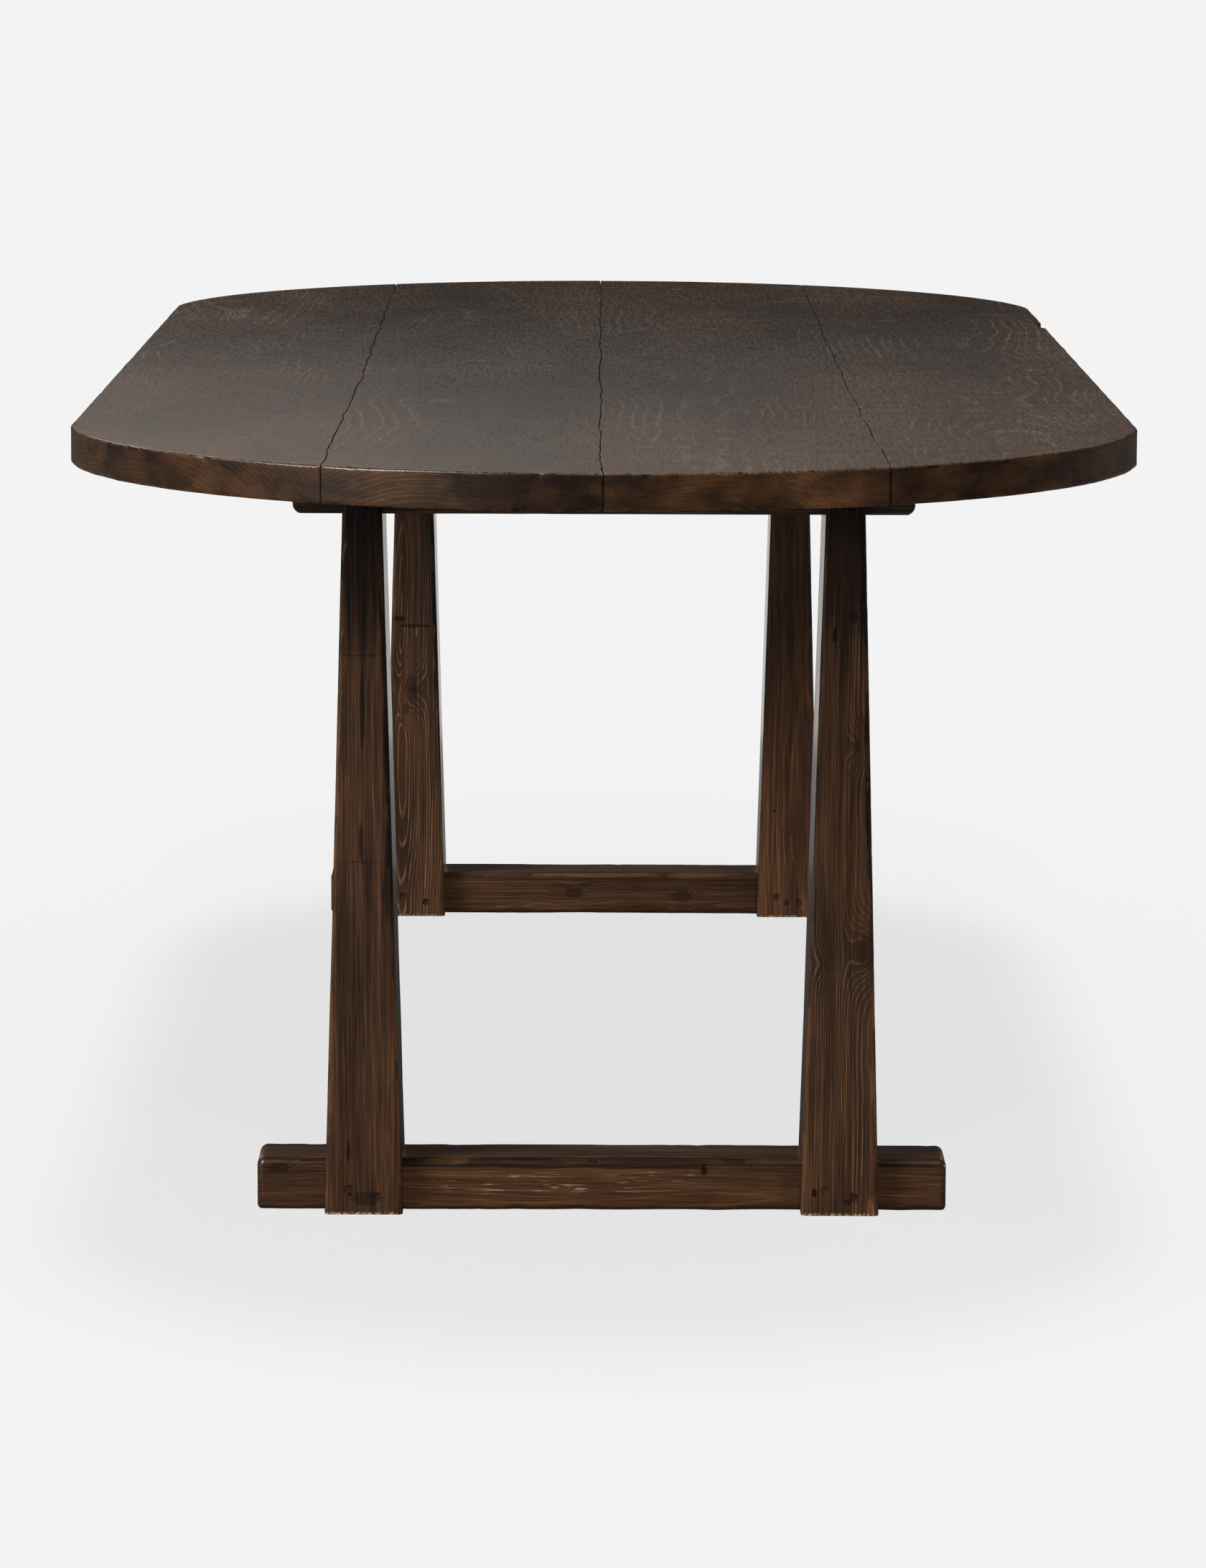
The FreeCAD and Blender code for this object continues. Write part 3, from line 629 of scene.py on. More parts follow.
def fill_ring(points, faces, start, count, seed, upper):
    """Triangles over the region inside one loop, with extra points where the face undulates."""
    edge = points[start:start + count]
    low = edge[:, :2].min(axis=0)
    high = edge[:, :2].max(axis=0)
    step = UPPER_GRID if upper else LOWER_GRID
    xs = np.arange(low[0] + step[0] / 2, high[0], step[0])
    ys = np.arange(low[1] + step[1] / 2, high[1], step[1])
    grid = np.array([(x, y) for x in xs for y in ys])
    cells = np.round(level(grid) * 1e4)
    for axis in range(2):
        grid[:, axis] += GRID_JITTER * step[axis] * lattice(cells, seed + 8 + axis)

    # Keep the points that lie well inside the loop
    left = np.interp(grid[:, 1], *side_of(edge, True))
    right = np.interp(grid[:, 1], *side_of(edge, False))
    inside = (grid[:, 0] > left + GRID_MARGIN) & (grid[:, 0] < right - GRID_MARGIN)
    inside &= (grid[:, 1] > low[1] + GRID_MARGIN) & (grid[:, 1] < high[1] - GRID_MARGIN)
    coordinates = [Vector(point) for point in edge[:, :2]] + [Vector(point) for point in grid[inside]]
    result = geometry.delaunay_2d_cdt(coordinates, [], [list(range(count))], 1, 1e-7, True)
    flat, _, triangles, origins = result[:4]

    # Points of the loop keep their numbers, the rest are added
    lookup = []
    added = []
    for number, source in enumerate(origins):
        if source and source[0] < count:
            lookup.append(start + source[0])
        else:
            lookup.append(len(points) + len(added))
            added.append(tuple(flat[number]))
    added = np.array(added)
    if upper:
        heights = TABLE_TOP - SKIN + crown(added, seed)
    else:
        heights = np.full(len(added), SLAB_UNDERSIDE + SKIN)
    corners = [tuple(lookup[corner] for corner in triangle) for triangle in triangles]
    if not upper:
        corners = [tuple(reversed(corner)) for corner in corners]
    return np.concatenate([points, np.column_stack([added, heights])]), faces + corners


def side_of(edge, left):
    """The least or greatest x of a loop for each y, as arrays for interpolation."""
    bins = np.linspace(edge[:, 1].min(), edge[:, 1].max(), SIDE_BINS)
    place = np.clip(np.digitize(edge[:, 1], bins) - 1, 0, SIDE_BINS - 2)
    best = np.full(SIDE_BINS - 1, np.nan)
    for number, x in zip(place, edge[:, 0]):
        if np.isnan(best[number]) or (x < best[number]) == left:
            best[number] = x
    centres = (bins[:-1] + bins[1:]) / 2
    known = ~np.isnan(best)
    return centres[known], best[known]


# Materials
WAX_ROUGHNESS = 0.24
FRAME_WAX = 0.4
WOOD_SPECULAR = 0.4
EDGE_ROUGHNESS = 0.42
BUMP_DEPTH = 0.4 * MM
FRAME_BUMP = 0.45
BOARD_BUMP = 0.8
GRAIN_STRETCH = {"X": (0.5, 1, 1), "Y": (1, 0.5, 1), "Z": (1, 1, 0.5)}
# A look's lengths are in metres but for its knots (x, y, z, size), marks (centre, half sizes, tone),
# flecks (centre, half sizes) and bands (height, tone from there up), which are in millimetres
PLAIN_LOOK = {
    "seed": 0.0, "spacing": 4.5 * MM, "bend": 14 * MM, "tilt": 0.0, "wave": 3 * MM, "knots": (),
    "contrast": 0.5, "rough": 0.42, "tone": 1.0, "marks": (), "flecks": (), "bands": (), "wear": 0.6,
}

# Noises: swells a metre along each axis, detail, roughness, distortion
SWAY_U = ((1.5, 1.5, 2.1), 1)
SWAY_V = ((1.5, 1.5, 2.6), 1)
WAVE = ((34, 34, 11), 2)
UNEVEN = ((85, 1, 1), 1)
RUB = ((110, 110, 16), 3)
FLAKE = ((380, 380, 380), 2)
DASH = {"X": ((38, 800, 800), 2), "Z": ((800, 800, 38), 2)}
HAIR = ((1000, 1000, 16), 3, 0.65)
FIBRE = ((240, 240, 5), 3, 0.6)
BROAD = ((22, 22, 3), 4, 0.6)
PATCH = ((9, 9, 4), 2)
STREAKS = ((75, 75, 4.5), 3)
EDGE_MOTTLE = ((22, 22, 40), 3)
EDGE_DRAG = ((60, 60, 500), 3)
EDGE_PATCHES = ((9, 9, 16), 2)
SPECK = ((330, 30, 100), 3, 0.7)
GRIT = ((900, 90, 100), 2, 0.6)
SAW = ((9, 75, 9), 3, 0.6)
CLOUD = ((3.2, 1.1, 1), 3)
HAZE = ((7, 1.9, 1), 3, 0.6, 0.6)
SCRATCH = ((11, 160, 1), 4, 0.7, 0.5)
DENTS = ((60, 12, 1), 2)
WAVER = ((16, 16, 16), 2)
RUST_SPOTS = ((160, 160, 160), 3)


class Value:
    """A node's output, with which sums can be written."""

    def __init__(self, graph, socket):
        self.graph = graph
        self.socket = socket

    def __add__(self, other):
        return self.graph.math("ADD", self, other)

    def __sub__(self, other):
        return self.graph.math("SUBTRACT", self, other)

    def __rsub__(self, other):
        return self.graph.math("SUBTRACT", other, self)

    def __mul__(self, other):
        return self.graph.math("MULTIPLY", self, other)

    def __truediv__(self, other):
        return self.graph.math("DIVIDE", self, other)


class Graph:
    """Short names for building the nodes of a material or of the world."""

    def __init__(self, owner):
        self.owner = owner
        owner.use_nodes = True
        self.tree = owner.node_tree
        self.tree.nodes.clear()

    def feed(self, node, key, value):
        """Links a value to a node's input, or sets the input."""
        if isinstance(value, Value):
            self.tree.links.new(value.socket, node.inputs[key])
        elif value is not None:
            node.inputs[key].default_value = value

    def node(self, kind, *values, inputs=(), **settings):
        """A new node with some settings; values feed its first inputs, and pairs in inputs feed others."""
        made = self.tree.nodes.new(kind)
        for key, setting in settings.items():
            setattr(made, key, setting)
        for key, value in (*enumerate(values), *inputs):
            self.feed(made, key, value)
        return made

    def made(self, kind, *values, output=0, **settings):
        """One output of a new node."""
        return Value(self, self.node(kind, *values, **settings).outputs[output])

    def math(self, operation, first, second=None):
        """One step of arithmetic."""
        return self.made("ShaderNodeMath", first, second, operation=operation)

    def ramp(self, value, low, high, to_low=0.0, to_high=1.0):
        """Smooth step from one number to another."""
        limits = (low, high, to_low, to_high)
        return self.made("ShaderNodeMapRange", value, *limits, interpolation_type="SMOOTHSTEP")

    def place(self):
        """Places in the table's frame."""
        return self.made("ShaderNodeTexCoord", output="Object")

    def attribute(self, name):
        """A number kept on the mesh."""
        return self.made("ShaderNodeAttribute", output="Fac", attribute_name=name)

    def ray(self, kind):
        """1 for rays of a kind, 0 for the others."""
        return self.made("ShaderNodeLightPath", output=f"Is {kind} Ray")

    def parts(self, vector):
        """The x, y and z of a vector."""
        return [Value(self, socket) for socket in self.node("ShaderNodeSeparateXYZ", vector).outputs]

    def combine(self, x, y, z):
        """Three numbers as a vector."""
        return self.made("ShaderNodeCombineXYZ", x, y, z)

    def grey(self, tone):
        """A number as a colour."""
        return self.combine(tone, tone, tone)

    def scale(self, vector, factors):
        """A vector stretched along each axis."""
        return self.made("ShaderNodeVectorMath", vector, factors, operation="MULTIPLY")

    def length(self, vector):
        """Length of a vector."""
        return self.made("ShaderNodeVectorMath", vector, output="Value", operation="LENGTH")

    def distance(self, vector, point, stretch):
        """Distance from a point given in millimetres, with each axis stretched."""
        point = tuple(part * MM for part in point)
        moved = self.made("ShaderNodeVectorMath", vector, point, operation="SUBTRACT")
        return self.length(self.scale(moved, stretch))

    def reach(self, vector, centre, sizes):
        """Distance from a centre, counted in half sizes along each axis; both are in millimetres."""
        return self.distance(vector, centre, tuple(1 / (part * MM) for part in sizes))

    def noise(self, vector, swells, detail, roughness=0.55, distortion=0.0):
        """Noise from about 0 to 1."""
        return self.made("ShaderNodeTexNoise", inputs=[
            ("Vector", self.scale(vector, swells)), ("Scale", 1.0), ("Detail", detail),
            ("Roughness", roughness), ("Distortion", distortion),
        ])

    def mix(self, factor, first, second, blend="MIX"):
        """Blend of two colours."""
        return self.made(
            "ShaderNodeMix", factor, output=2, inputs=[(6, first), (7, second)],
            data_type="RGBA", blend_type=blend,
        )

    def tint(self, colour_in, tone):
        """A colour made lighter or darker by a number."""
        return self.mix(1.0, colour_in, self.grey(tone), "MULTIPLY")

    def output(self, shader, kind="Material"):
        """Puts a shader on the owner, and gives back the owner."""
        self.node(f"ShaderNodeOutput{kind}", shader)
        return self.owner

    def finish(self, base, roughness, height, bump, wax=0.0):
        """Wood's surface; wax is the weight of a thin polished film."""
        ridge = self.made("ShaderNodeBump", inputs=[
            ("Strength", bump), ("Distance", BUMP_DEPTH), ("Height", height),
        ])
        return self.output(self.made("ShaderNodeBsdfPrincipled", inputs=[
            ("Base Color", base), ("Roughness", roughness), ("Normal", ridge),
            ("Specular IOR Level", WOOD_SPECULAR), ("Coat Weight", wax), ("Coat Roughness", WAX_ROUGHNESS),
        ]))


def colour(code):
    """Linear colour of a hexadecimal screen colour."""
    linear = []
    for start in (0, 2, 4):
        part = int(code[start:start + 2], 16) / 255
        linear.append(part / 12.92 if part <= 0.04045 else ((part + 0.055) / 1.055) ** 2.4)
    return (*linear, 1.0)


STAIN_DARK = colour("291a10")
STAIN_LIGHT = colour("452c1b")
STAIN_PATCH = colour("51351f")
LATEWOOD = colour("7d5b3a")
STREAK = colour("0f0805")
KNOT = colour("1a0d07")
RUBBED = colour("6f4b28")
# Near-black colour of the painted shade on the legs' right-hand front arrises
PAINTED_SHADE = colour("0e0805")
BARE = colour("c4ab88")
FLECK = colour("b79a78")
EDGE_DARK = colour("22140a")
EDGE_LIGHT = colour("392310")
EDGE_PATCH = colour("4a2e18")
EDGE_RUBBED = colour("6e553d")
EDGE_BARE = colour("b59a78")
SEAM_GRIME = colour("0a0605")
FACE_DARK = colour("241911")
FACE_LIGHT = colour("402f22")
FACE_PALE = colour("8d8072")
FACE_KNOT = colour("1d1612")
DENT = colour("0d0907")
STEEL = colour("8a8680")
RUST = colour("6a5547")


def growth_rings(graph, place, grain, pith, look):
    """Latewood lines of a log whose pith runs along the grain past the piece, bent round its knots."""
    x, y, z = graph.parts(place)
    across, deep, along = {"X": (y, z, x), "Y": (x, z, y), "Z": (x, y, z)}[grain]
    seed = look["seed"]
    local = graph.combine(across + seed, deep, along)
    other = graph.combine(across + (seed + 5.3), deep, along)
    wave = graph.noise(local, *WAVE)
    u = across - pith[0] + graph.noise(local, *SWAY_U) * (2 * look["bend"])
    v = deep - pith[1] + graph.noise(other, *SWAY_V) * (2 * look["bend"])
    v = v + along * look["tilt"]
    radius = graph.length(graph.combine(u, v, 0.0)) + wave * look["wave"]
    core = 0.0
    for *centre, size in look["knots"]:
        size = size * MM
        apart = graph.distance(place, centre, GRAIN_STRETCH[grain])
        near = (apart + (wave - 0.5) * (0.5 * size)) / size
        fall = graph.math("EXPONENT", near * near * -0.45)
        radius = radius + fall * (1.6 * size)
        core = graph.math("MAXIMUM", core, graph.ramp(near, 0.95, 0.6))
    uneven = graph.noise(graph.combine(radius, seed, 0.0), *UNEVEN)
    part = graph.math("FRACT", radius / look["spacing"] + uneven * 1.8)
    line = graph.ramp(part, 0.66, 0.88) * graph.ramp(part, 1.0, 0.93)
    return local, line, core


def worn_parts(graph, place, local):
    """Masks of the rubbed arrises and of the bare flecks on them."""
    rubbed = graph.ramp(graph.attribute("worn"), 0.15, 0.85)
    rubbed = rubbed * graph.ramp(graph.noise(local, *RUB), 0.36, 0.62)
    bare = graph.ramp(graph.attribute("bare"), 0.3, 0.9)
    return rubbed, bare * graph.ramp(graph.noise(place, *FLAKE), 0.5, 0.56)


def patches_and_painted_light(graph, place, base, marks, ragged):
    """Places where the wood is darker or lighter, each with its centre, half sizes and tone; some are real
    patches, and some are painted shadow, painted light or painted sheen.
    """
    for centre, sizes, tone in marks:
        apart = graph.reach(place, centre, sizes) + ragged
        base = graph.mix(graph.ramp(apart, 1.05, 0.7), base, graph.tint(base, tone))
    return base


def flecks(graph, place, base, areas, grain):
    """Pale dashes along the grain where the finish has worn off."""
    for centre, sizes in areas:
        dash = graph.ramp(graph.noise(place, *DASH[grain]), 0.61, 0.69)
        inside = graph.ramp(graph.reach(place, centre, sizes), 1.1, 0.5)
        base = graph.mix(dash * inside * 0.58, base, FLECK)
    return base


def frame_wood(name, grain, pith, **changes):
    """Dark waxed softwood of the legs and rails."""
    look = dict(PLAIN_LOOK, **changes)
    graph = Graph(bpy.data.materials.new(name))
    place = graph.place()
    local, line, core = growth_rings(graph, place, grain, pith, look)
    rubbed, bare = worn_parts(graph, place, local)
    hair = graph.noise(local, *HAIR)
    fibre = graph.noise(local, *FIBRE)

    # Stain and grain
    base = graph.mix(graph.ramp(graph.noise(local, *BROAD), 0.3, 0.7), STAIN_DARK, STAIN_LIGHT)
    base = graph.mix(graph.ramp(graph.noise(local, *PATCH), 0.45, 0.75) * 0.5, base, STAIN_PATCH)
    broken = graph.ramp(fibre, 0.32, 0.6, 0.15, 1.0)
    base = graph.mix(line * broken * look["contrast"], base, LATEWOOD)
    tone = graph.ramp(fibre, 0.3, 0.7, 0.7, 1.28) * graph.ramp(hair, 0.3, 0.7, 0.5, 1.5)
    height = graph.parts(place)[2]
    for low, share in look["bands"]:
        tone = tone * graph.ramp(height, low * MM, (low + 1.5) * MM, 1.0, share)
    base = graph.tint(base, tone * look["tone"])

    # Marks, wear and painted shade; some marks are painted shadow and painted light
    base = patches_and_painted_light(graph, place, base, look["marks"], (fibre - 0.5) * 1.2)
    base = flecks(graph, place, base, look["flecks"], grain)
    base = graph.mix(graph.ramp(graph.noise(local, *STREAKS), 0.67, 0.74) * 0.8, base, STREAK)
    base = graph.mix(core * 0.55, base, KNOT)
    base = graph.mix(rubbed * look["wear"], base, RUBBED)
    # Painted shade down the legs' right-hand front arrises, which face away from the key light
    base = graph.mix(graph.ramp(graph.attribute("grime_and_shade"), 0.1, 0.9, 0.0, 0.85), base, PAINTED_SHADE)
    base = graph.mix(bare, base, BARE)
    roughness = graph.ramp(fibre, 0.3, 0.7, look["rough"] + 0.07, look["rough"] - 0.05)
    return graph.finish(base, roughness, line * 0.6 + (fibre + hair * 0.6), FRAME_BUMP, FRAME_WAX)


def edge_colour(graph, place, line, marks):
    """Stain of a plank's edge, which is end grain at the round ends."""
    mottle = graph.noise(place, *EDGE_MOTTLE)
    patch = graph.noise(place, *EDGE_PATCHES)
    edge = graph.mix(graph.ramp(mottle, 0.35, 0.65), EDGE_DARK, EDGE_LIGHT)
    edge = graph.mix(graph.ramp(patch, 0.45, 0.7) * 0.7, edge, EDGE_PATCH)
    edge = graph.mix(line * graph.ramp(patch, 0.48, 0.6) * 0.1, edge, LATEWOOD)
    edge = graph.tint(edge, graph.ramp(graph.noise(place, *EDGE_DRAG), 0.3, 0.7, 0.82, 1.18))
    return patches_and_painted_light(graph, place, edge, marks, mottle - 0.5)


def face_colour(graph, place, line, core, speck, saw, haze):
    """Grey, closed finish of the top face, with painted shade darkening it down the middle behind the near
    end, where its sheen is weaker.
    """
    across, along, _ = graph.parts(place)
    grit = graph.noise(place, *GRIT)
    face = graph.mix(graph.ramp(graph.noise(place, *CLOUD), 0.3, 0.7), FACE_DARK, FACE_LIGHT)
    face = graph.mix(line * graph.ramp(haze, 0.48, 0.64) * 0.12, face, FACE_PALE)
    tone = graph.ramp(speck, 0.28, 0.72, 0.3, 1.9) * graph.ramp(grit, 0.3, 0.7, 0.8, 1.2)
    # Painted shade: the top darker down the middle behind the near end, where its sheen is weaker
    middle = graph.ramp(graph.math("ABSOLUTE", across), 0.4, 0.12) * graph.ramp(along, -1.1, -0.2)
    tone = tone * graph.ramp(saw, 0.3, 0.7, 0.86, 1.14) * (1.0 - middle * 0.35)
    face = graph.tint(face, tone)
    face = graph.mix(graph.ramp(graph.noise(place, *SCRATCH), 0.62, 0.7, 0.0, 0.4), face, FACE_PALE)
    face = graph.mix(graph.ramp(graph.noise(place, *DENTS), 0.76, 0.79, 0.0, 0.8), face, DENT)
    return graph.mix(core * 0.3, face, FACE_KNOT)


def board_wood(name, pith, **changes):
    """Planks: the same wood at the edge, under a greyer, closed finish on the top face."""
    look = dict(PLAIN_LOOK, **changes)
    graph = Graph(bpy.data.materials.new(name))
    place = graph.place()
    across, _, height = graph.parts(place)
    local, line, core = growth_rings(graph, place, "Y", pith, look)
    rubbed, bare = worn_parts(graph, place, local)
    speck = graph.noise(place, *SPECK)
    saw = graph.noise(place, *SAW)
    haze = graph.noise(place, *HAZE)
    edge = edge_colour(graph, place, line, look["marks"])
    face = face_colour(graph, place, line, core, speck, saw, haze)

    # Wavering boundary between the face's finish and the edge's
    limit = TABLE_TOP - 0.9 * MM - graph.noise(place, *WAVER) * (2.4 * MM)
    above = graph.ramp(height - limit, -0.5 * MM, 0.5 * MM)
    base = graph.mix(above, edge, face)
    base = graph.mix(rubbed * 0.3, base, EDGE_RUBBED)
    # On the planks the same mask is dirt in the seams and chips
    base = graph.mix(graph.ramp(graph.attribute("grime_and_shade"), 0.1, 0.9, 0.0, 0.92), base, SEAM_GRIME)
    base = graph.mix(bare, base, EDGE_BARE)

    # Shinier on the edge, down the middle of the top and where the arris is rubbed
    shine = graph.ramp(haze, 0.3, 0.7, 0.43, 0.5) + graph.ramp(speck, 0.3, 0.7, -0.11, 0.11)
    shine = shine + graph.ramp(graph.math("ABSOLUTE", across), 0.12, 0.4, -0.045, 0.0)
    roughness = above * (shine - EDGE_ROUGHNESS) + EDGE_ROUGHNESS
    roughness = roughness - graph.ramp(graph.attribute("worn"), 0.1, 0.7, 0.0, 0.22)
    rings = line * ((1.0 - above) * 0.1 + 0.12)
    return graph.finish(base, roughness, rings + (speck + saw * 0.7), BOARD_BUMP)


def plain_steel():
    """Dull steel for the screws and their washers."""
    graph = Graph(bpy.data.materials.new("dull_steel"))
    spots = graph.noise(graph.place(), *RUST_SPOTS)
    return graph.output(graph.made("ShaderNodeBsdfPrincipled", inputs=[
        ("Base Color", graph.mix(graph.ramp(spots, 0.45, 0.65), STEEL, RUST)),
        ("Roughness", graph.ramp(spots, 0.4, 0.7, 0.35, 0.6)), ("Metallic", 1.0),
    ]))


def dress(piece, material):
    """Gives a piece one material all over."""
    piece.data.materials.clear()
    piece.data.materials.append(material)
    piece.data.polygons.foreach_set("material_index", np.zeros(len(piece.data.polygons), np.int32))


# The table: planks with their piths (x, z) and looks, legs whose "off" is the pith's place in the leg
BOARDS = [
    ("outer_left", (-430 * MM, 610 * MM), {
        "knots": [(-382, -52, 758, 20)],
        # The first mark lightens the near edge, painted sheen where the edge faces the key light
        "marks": [((-330, -1150, 744), (70, 60, 40), 1.2), ((-445, -1030, 744), (60, 70, 60), 0.7)],
    }),
    ("inner_left", (-140 * MM, 590 * MM), {
        "knots": [(-119, -42, 758, 16), (-114, 479, 758, 22)],
        # The first mark lightens the near edge, painted sheen where the edge faces the key light
        "marks": [((-215, -1230, 744), (60, 60, 40), 1.15), ((-75, -1270, 744), (85, 40, 40), 0.45),
                  ((-55, -1272, 742), (16, 30, 10), 1.4)],
    }),
    ("inner_right", (110 * MM, 640 * MM), {
        "knots": [(162, -1250, 744, 7), (191, 664, 758, 18), (205, 329, 758, 20)],
        "marks": [((105, -1265, 744), (42, 40, 30), 1.2), ((213, -1240, 744), (44, 40, 30), 1.7)],
    }),
    ("outer_right", (420 * MM, 600 * MM), {
        "marks": [((300, -1180, 744), (40, 60, 40), 1.15), ((430, -1060, 744), (60, 70, 40), 1.3)],
    }),
]
for index, (board, pith, changes) in enumerate(BOARDS):
    node = f"top_board_{board}"
    plank = make_board(node, index, 100 + 10 * index)
    look = dict(seed=3.1 * index, spacing=5 * MM, bend=18 * MM, **changes)
    dress(plank, board_wood(f"wood_{board}", pith, **look))

LEGS = {
    "front_left_leg": dict(
        off=(34, -22), seed=1.3, spacing=3.1 * MM, contrast=0.14, bend=8 * MM,
        bands=[(350, 1.12), (552, 0.8)],
        # The first mark darkens the leg's top, painted shadow of the slab
        marks=[((-232, -935, 745), (60, 60, 170), 0.55),
               ((-233, -935, 496), (2.6, 20, 40), 0.25), ((-235, -935, 368), (2.4, 20, 26), 0.3),
               ((-232, -935, 606), (19, 20, 56), 0.75), ((-231, -935, 16), (17, 20, 8), 0.5),
               ((-247.5, -935, 63), (1.6, 12, 13), 0.1), ((-246, -935, 21), (2.2, 9, 3), 0.1),
               ((-233, -935, 551), (26, 20, 1.0), 0.4), ((-233, -935, 349), (30, 20, 0.9), 0.55)],
    ),
    "front_right_leg": dict(
        off=(40, -34), seed=2.9, spacing=2.4 * MM, contrast=0.34, bend=8 * MM, wave=4 * MM,
        knots=[(258, -932, 262, 12), (215, -930, 250, 6), (246, -930, 464, 7)],
        # The first mark darkens the leg's top, painted shadow of the slab; the second lightens its lower
        # part, painted light
        marks=[((232, -935, 760), (60, 60, 215), 0.38), ((232, -935, 20), (60, 60, 300), 1.3),
               ((223, -935, 572), (2.4, 20, 8), 0.2), ((208, -935, 23), (2.6, 9, 5), 0.08),
               ((241, -935, 14), (5, 12, 3), 0.4), ((242, -935, 590), (5, 20, 7), 0.5)],
    ),
    "rear_left_leg": dict(
        off=(0, -28), seed=4.7, spacing=3.1 * MM, contrast=0.62, bend=14 * MM, wave=5 * MM, tilt=0.05,
        tone=1.4,
        knots=[(-236, 817, 286, 11), (-243, 817, 262, 5)],
        marks=[((-252, 815, 374), (9, 12, 4), 0.2), ((-232, 815, 365), (22, 12, 2.6), 0.3),
               ((-236, 815, 286), (6, 12, 4), 0.5)],
        flecks=[((-236, 815, 358), (16, 12, 8))],
    ),
    "rear_right_leg": dict(
        off=(30, 26), seed=6.1, spacing=3.0 * MM, contrast=0.14, bend=8 * MM, tone=1.5,
        # The first mark lightens the leg's lower part, painted light
        marks=[((232, 815, 20), (60, 60, 260), 1.3),
               ((231, 815, 18), (5, 12, 4), 0.4), ((215, 815, 134), (2.5, 12, 2.5), 0.3)],
    ),
}
# arris, arris of the ends, seed, pith's place from the frame's middle and from the floor, look
RAILS = {
    "foot": (6 * MM, 4 * MM, 300, (-16 * MM, 22 * MM), dict(
        seed=5.9, spacing=3.6 * MM, contrast=0.2, wave=4 * MM,
    )),
    # The head rail's tone of 2.5 is painted light, lifting a rail that sits in shade under the top
    "head": (2.4 * MM, 3 * MM, 340, (0.0, 650 * MM), dict(seed=7.7, contrast=0.3, tone=2.5)),
}
RAIL_LOOKS = {
    "front_foot_rail": dict(
        knots=[(-317, -912, 42, 7)], wear=0.2, rough=0.36,
        marks=[((-10, -913.5, 48), (345, 12, 7), 0.3), ((100, -913.5, 42), (4, 12, 7), 0.25)],
        flecks=[((-50, -913.5, 27), (150, 12, 12)), ((60, -913.5, 38), (60, 12, 5))],
    ),
    "rear_foot_rail": dict(
        knots=[(101, 838, 22, 9), (-33, 838, 26, 8)], tone=1.25, rough=0.36,
        marks=[((0, 836.5, 46), (330, 12, 4), 0.7)],
    ),
}
for end_name, end in (("front", -1), ("rear", 1)):
    for side_name, side in (("left", -1), ("right", 1)):
        node = f"{end_name}_{side_name}_leg"
        leg = make_leg(node, side, end, 200 + 20 * end + 5 * side)
        look = dict(LEGS[node])
        off = look.pop("off")
        pith = (side * LEG_CENTRE + off[0] * MM, end * FRAME_CENTRE + off[1] * MM)
        dress(leg, frame_wood(f"wood_{node}", "Z", pith, **look))
    for kind, (arris, end_arris, seed, (lean, height), look) in RAILS.items():
        node = f"{end_name}_{kind}_rail"
        rail = make_rail(node, arris, end_arris, seed + 10 * end)
        look = dict(look, seed=look["seed"] + end, **RAIL_LOOKS.get(node, {}))
        dress(rail, frame_wood(f"wood_{node}", "X", (end * FRAME_CENTRE + lean, height), **look))

peg_wood = frame_wood("wood_pegs", "Y", (0.0, 0.0), spacing=2 * MM, tone=0.8)
tongue_wood = frame_wood("wood_tongues", "Y", (0.0, 700 * MM), spacing=3 * MM, tone=2.5)
steel = plain_steel()
for name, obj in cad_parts.items():
    if name.endswith("_pegs"):
        dress(obj, peg_wood)
    elif name.endswith("_tongue"):
        dress(obj, tongue_wood)
    elif name.endswith("_screws") or name.endswith("_washers"):
        dress(obj, steel)


# Studio
WHITE = (1, 1, 1, 1)
FLOOR_HALF = 120.0
FLOOR_GLOW = 0.734
FLOOR_SHOWN = 0.24
FLOOR_BOUNCE = 0.38
FLOOR_GLOSS_NEAR = 0.12
FLOOR_GLOSS_FAR = 0.66
BACKGROUND = 0.905
WORLD_LIGHT = 0.2
WORLD_GLOSS = 0.05
# name, place, strength, angle across in degrees, whether it shows in reflections
SUNS = [
    ("key", (-6.4, -4.3, 6.4), 2.8, 20, True),
    ("fill", (5.5, -4.95, 6.7), 0.8, 24, False),
    ("low_fill", (0.85, -9.7, 2.25), 0.9, 8, False),
]
# Suns on the floor alone: lean along the table, strength
OVERHEADS = [(-0.75, 0.3), (0.15, 0.4), (0.3, 0.45), (0.45, 0.45)]
OVERHEAD_HEIGHT = 10
OVERHEAD_ANGLE = 10
CARD_COLOUR = (1.0, 0.95, 0.89)
# name, place, aim, width, height, radiance, what it lights
CARDS = [
    ("left_card", (-2.6, -3.1, 1.2), (0, -1.2, 0.75), 2.2, 1.4, 1.3, "table"),
    ("low_back_card", (0, 2.1, 0.38), (0, 1.1, 0.38), 2.2, 0.66, 1.0, "legs"),
    ("rim_card", (-3.2, -2.0, 3.1), (-0.27, -1.2, 0.76), 2.4, 0.16, 60.0, "planks"),
    ("right_card", (2.3, -3.2, 1.2), (0, -1.2, 0.75), 0.7, 1.2, 0.7, "table"),
]
# Strips behind the table, whose light fades to the right
BACK_STRIPS = 12
BACK_LEFT = -1.8
BACK_RIGHT = 1.3
BACK_Y = 1.75
BACK_LOW = 1.56
BACK_HIGH = 2.4
BACK_RADIANCE = 1.58
BACK_FADE = 0.76
BACK_FADE_REACH = 0.9


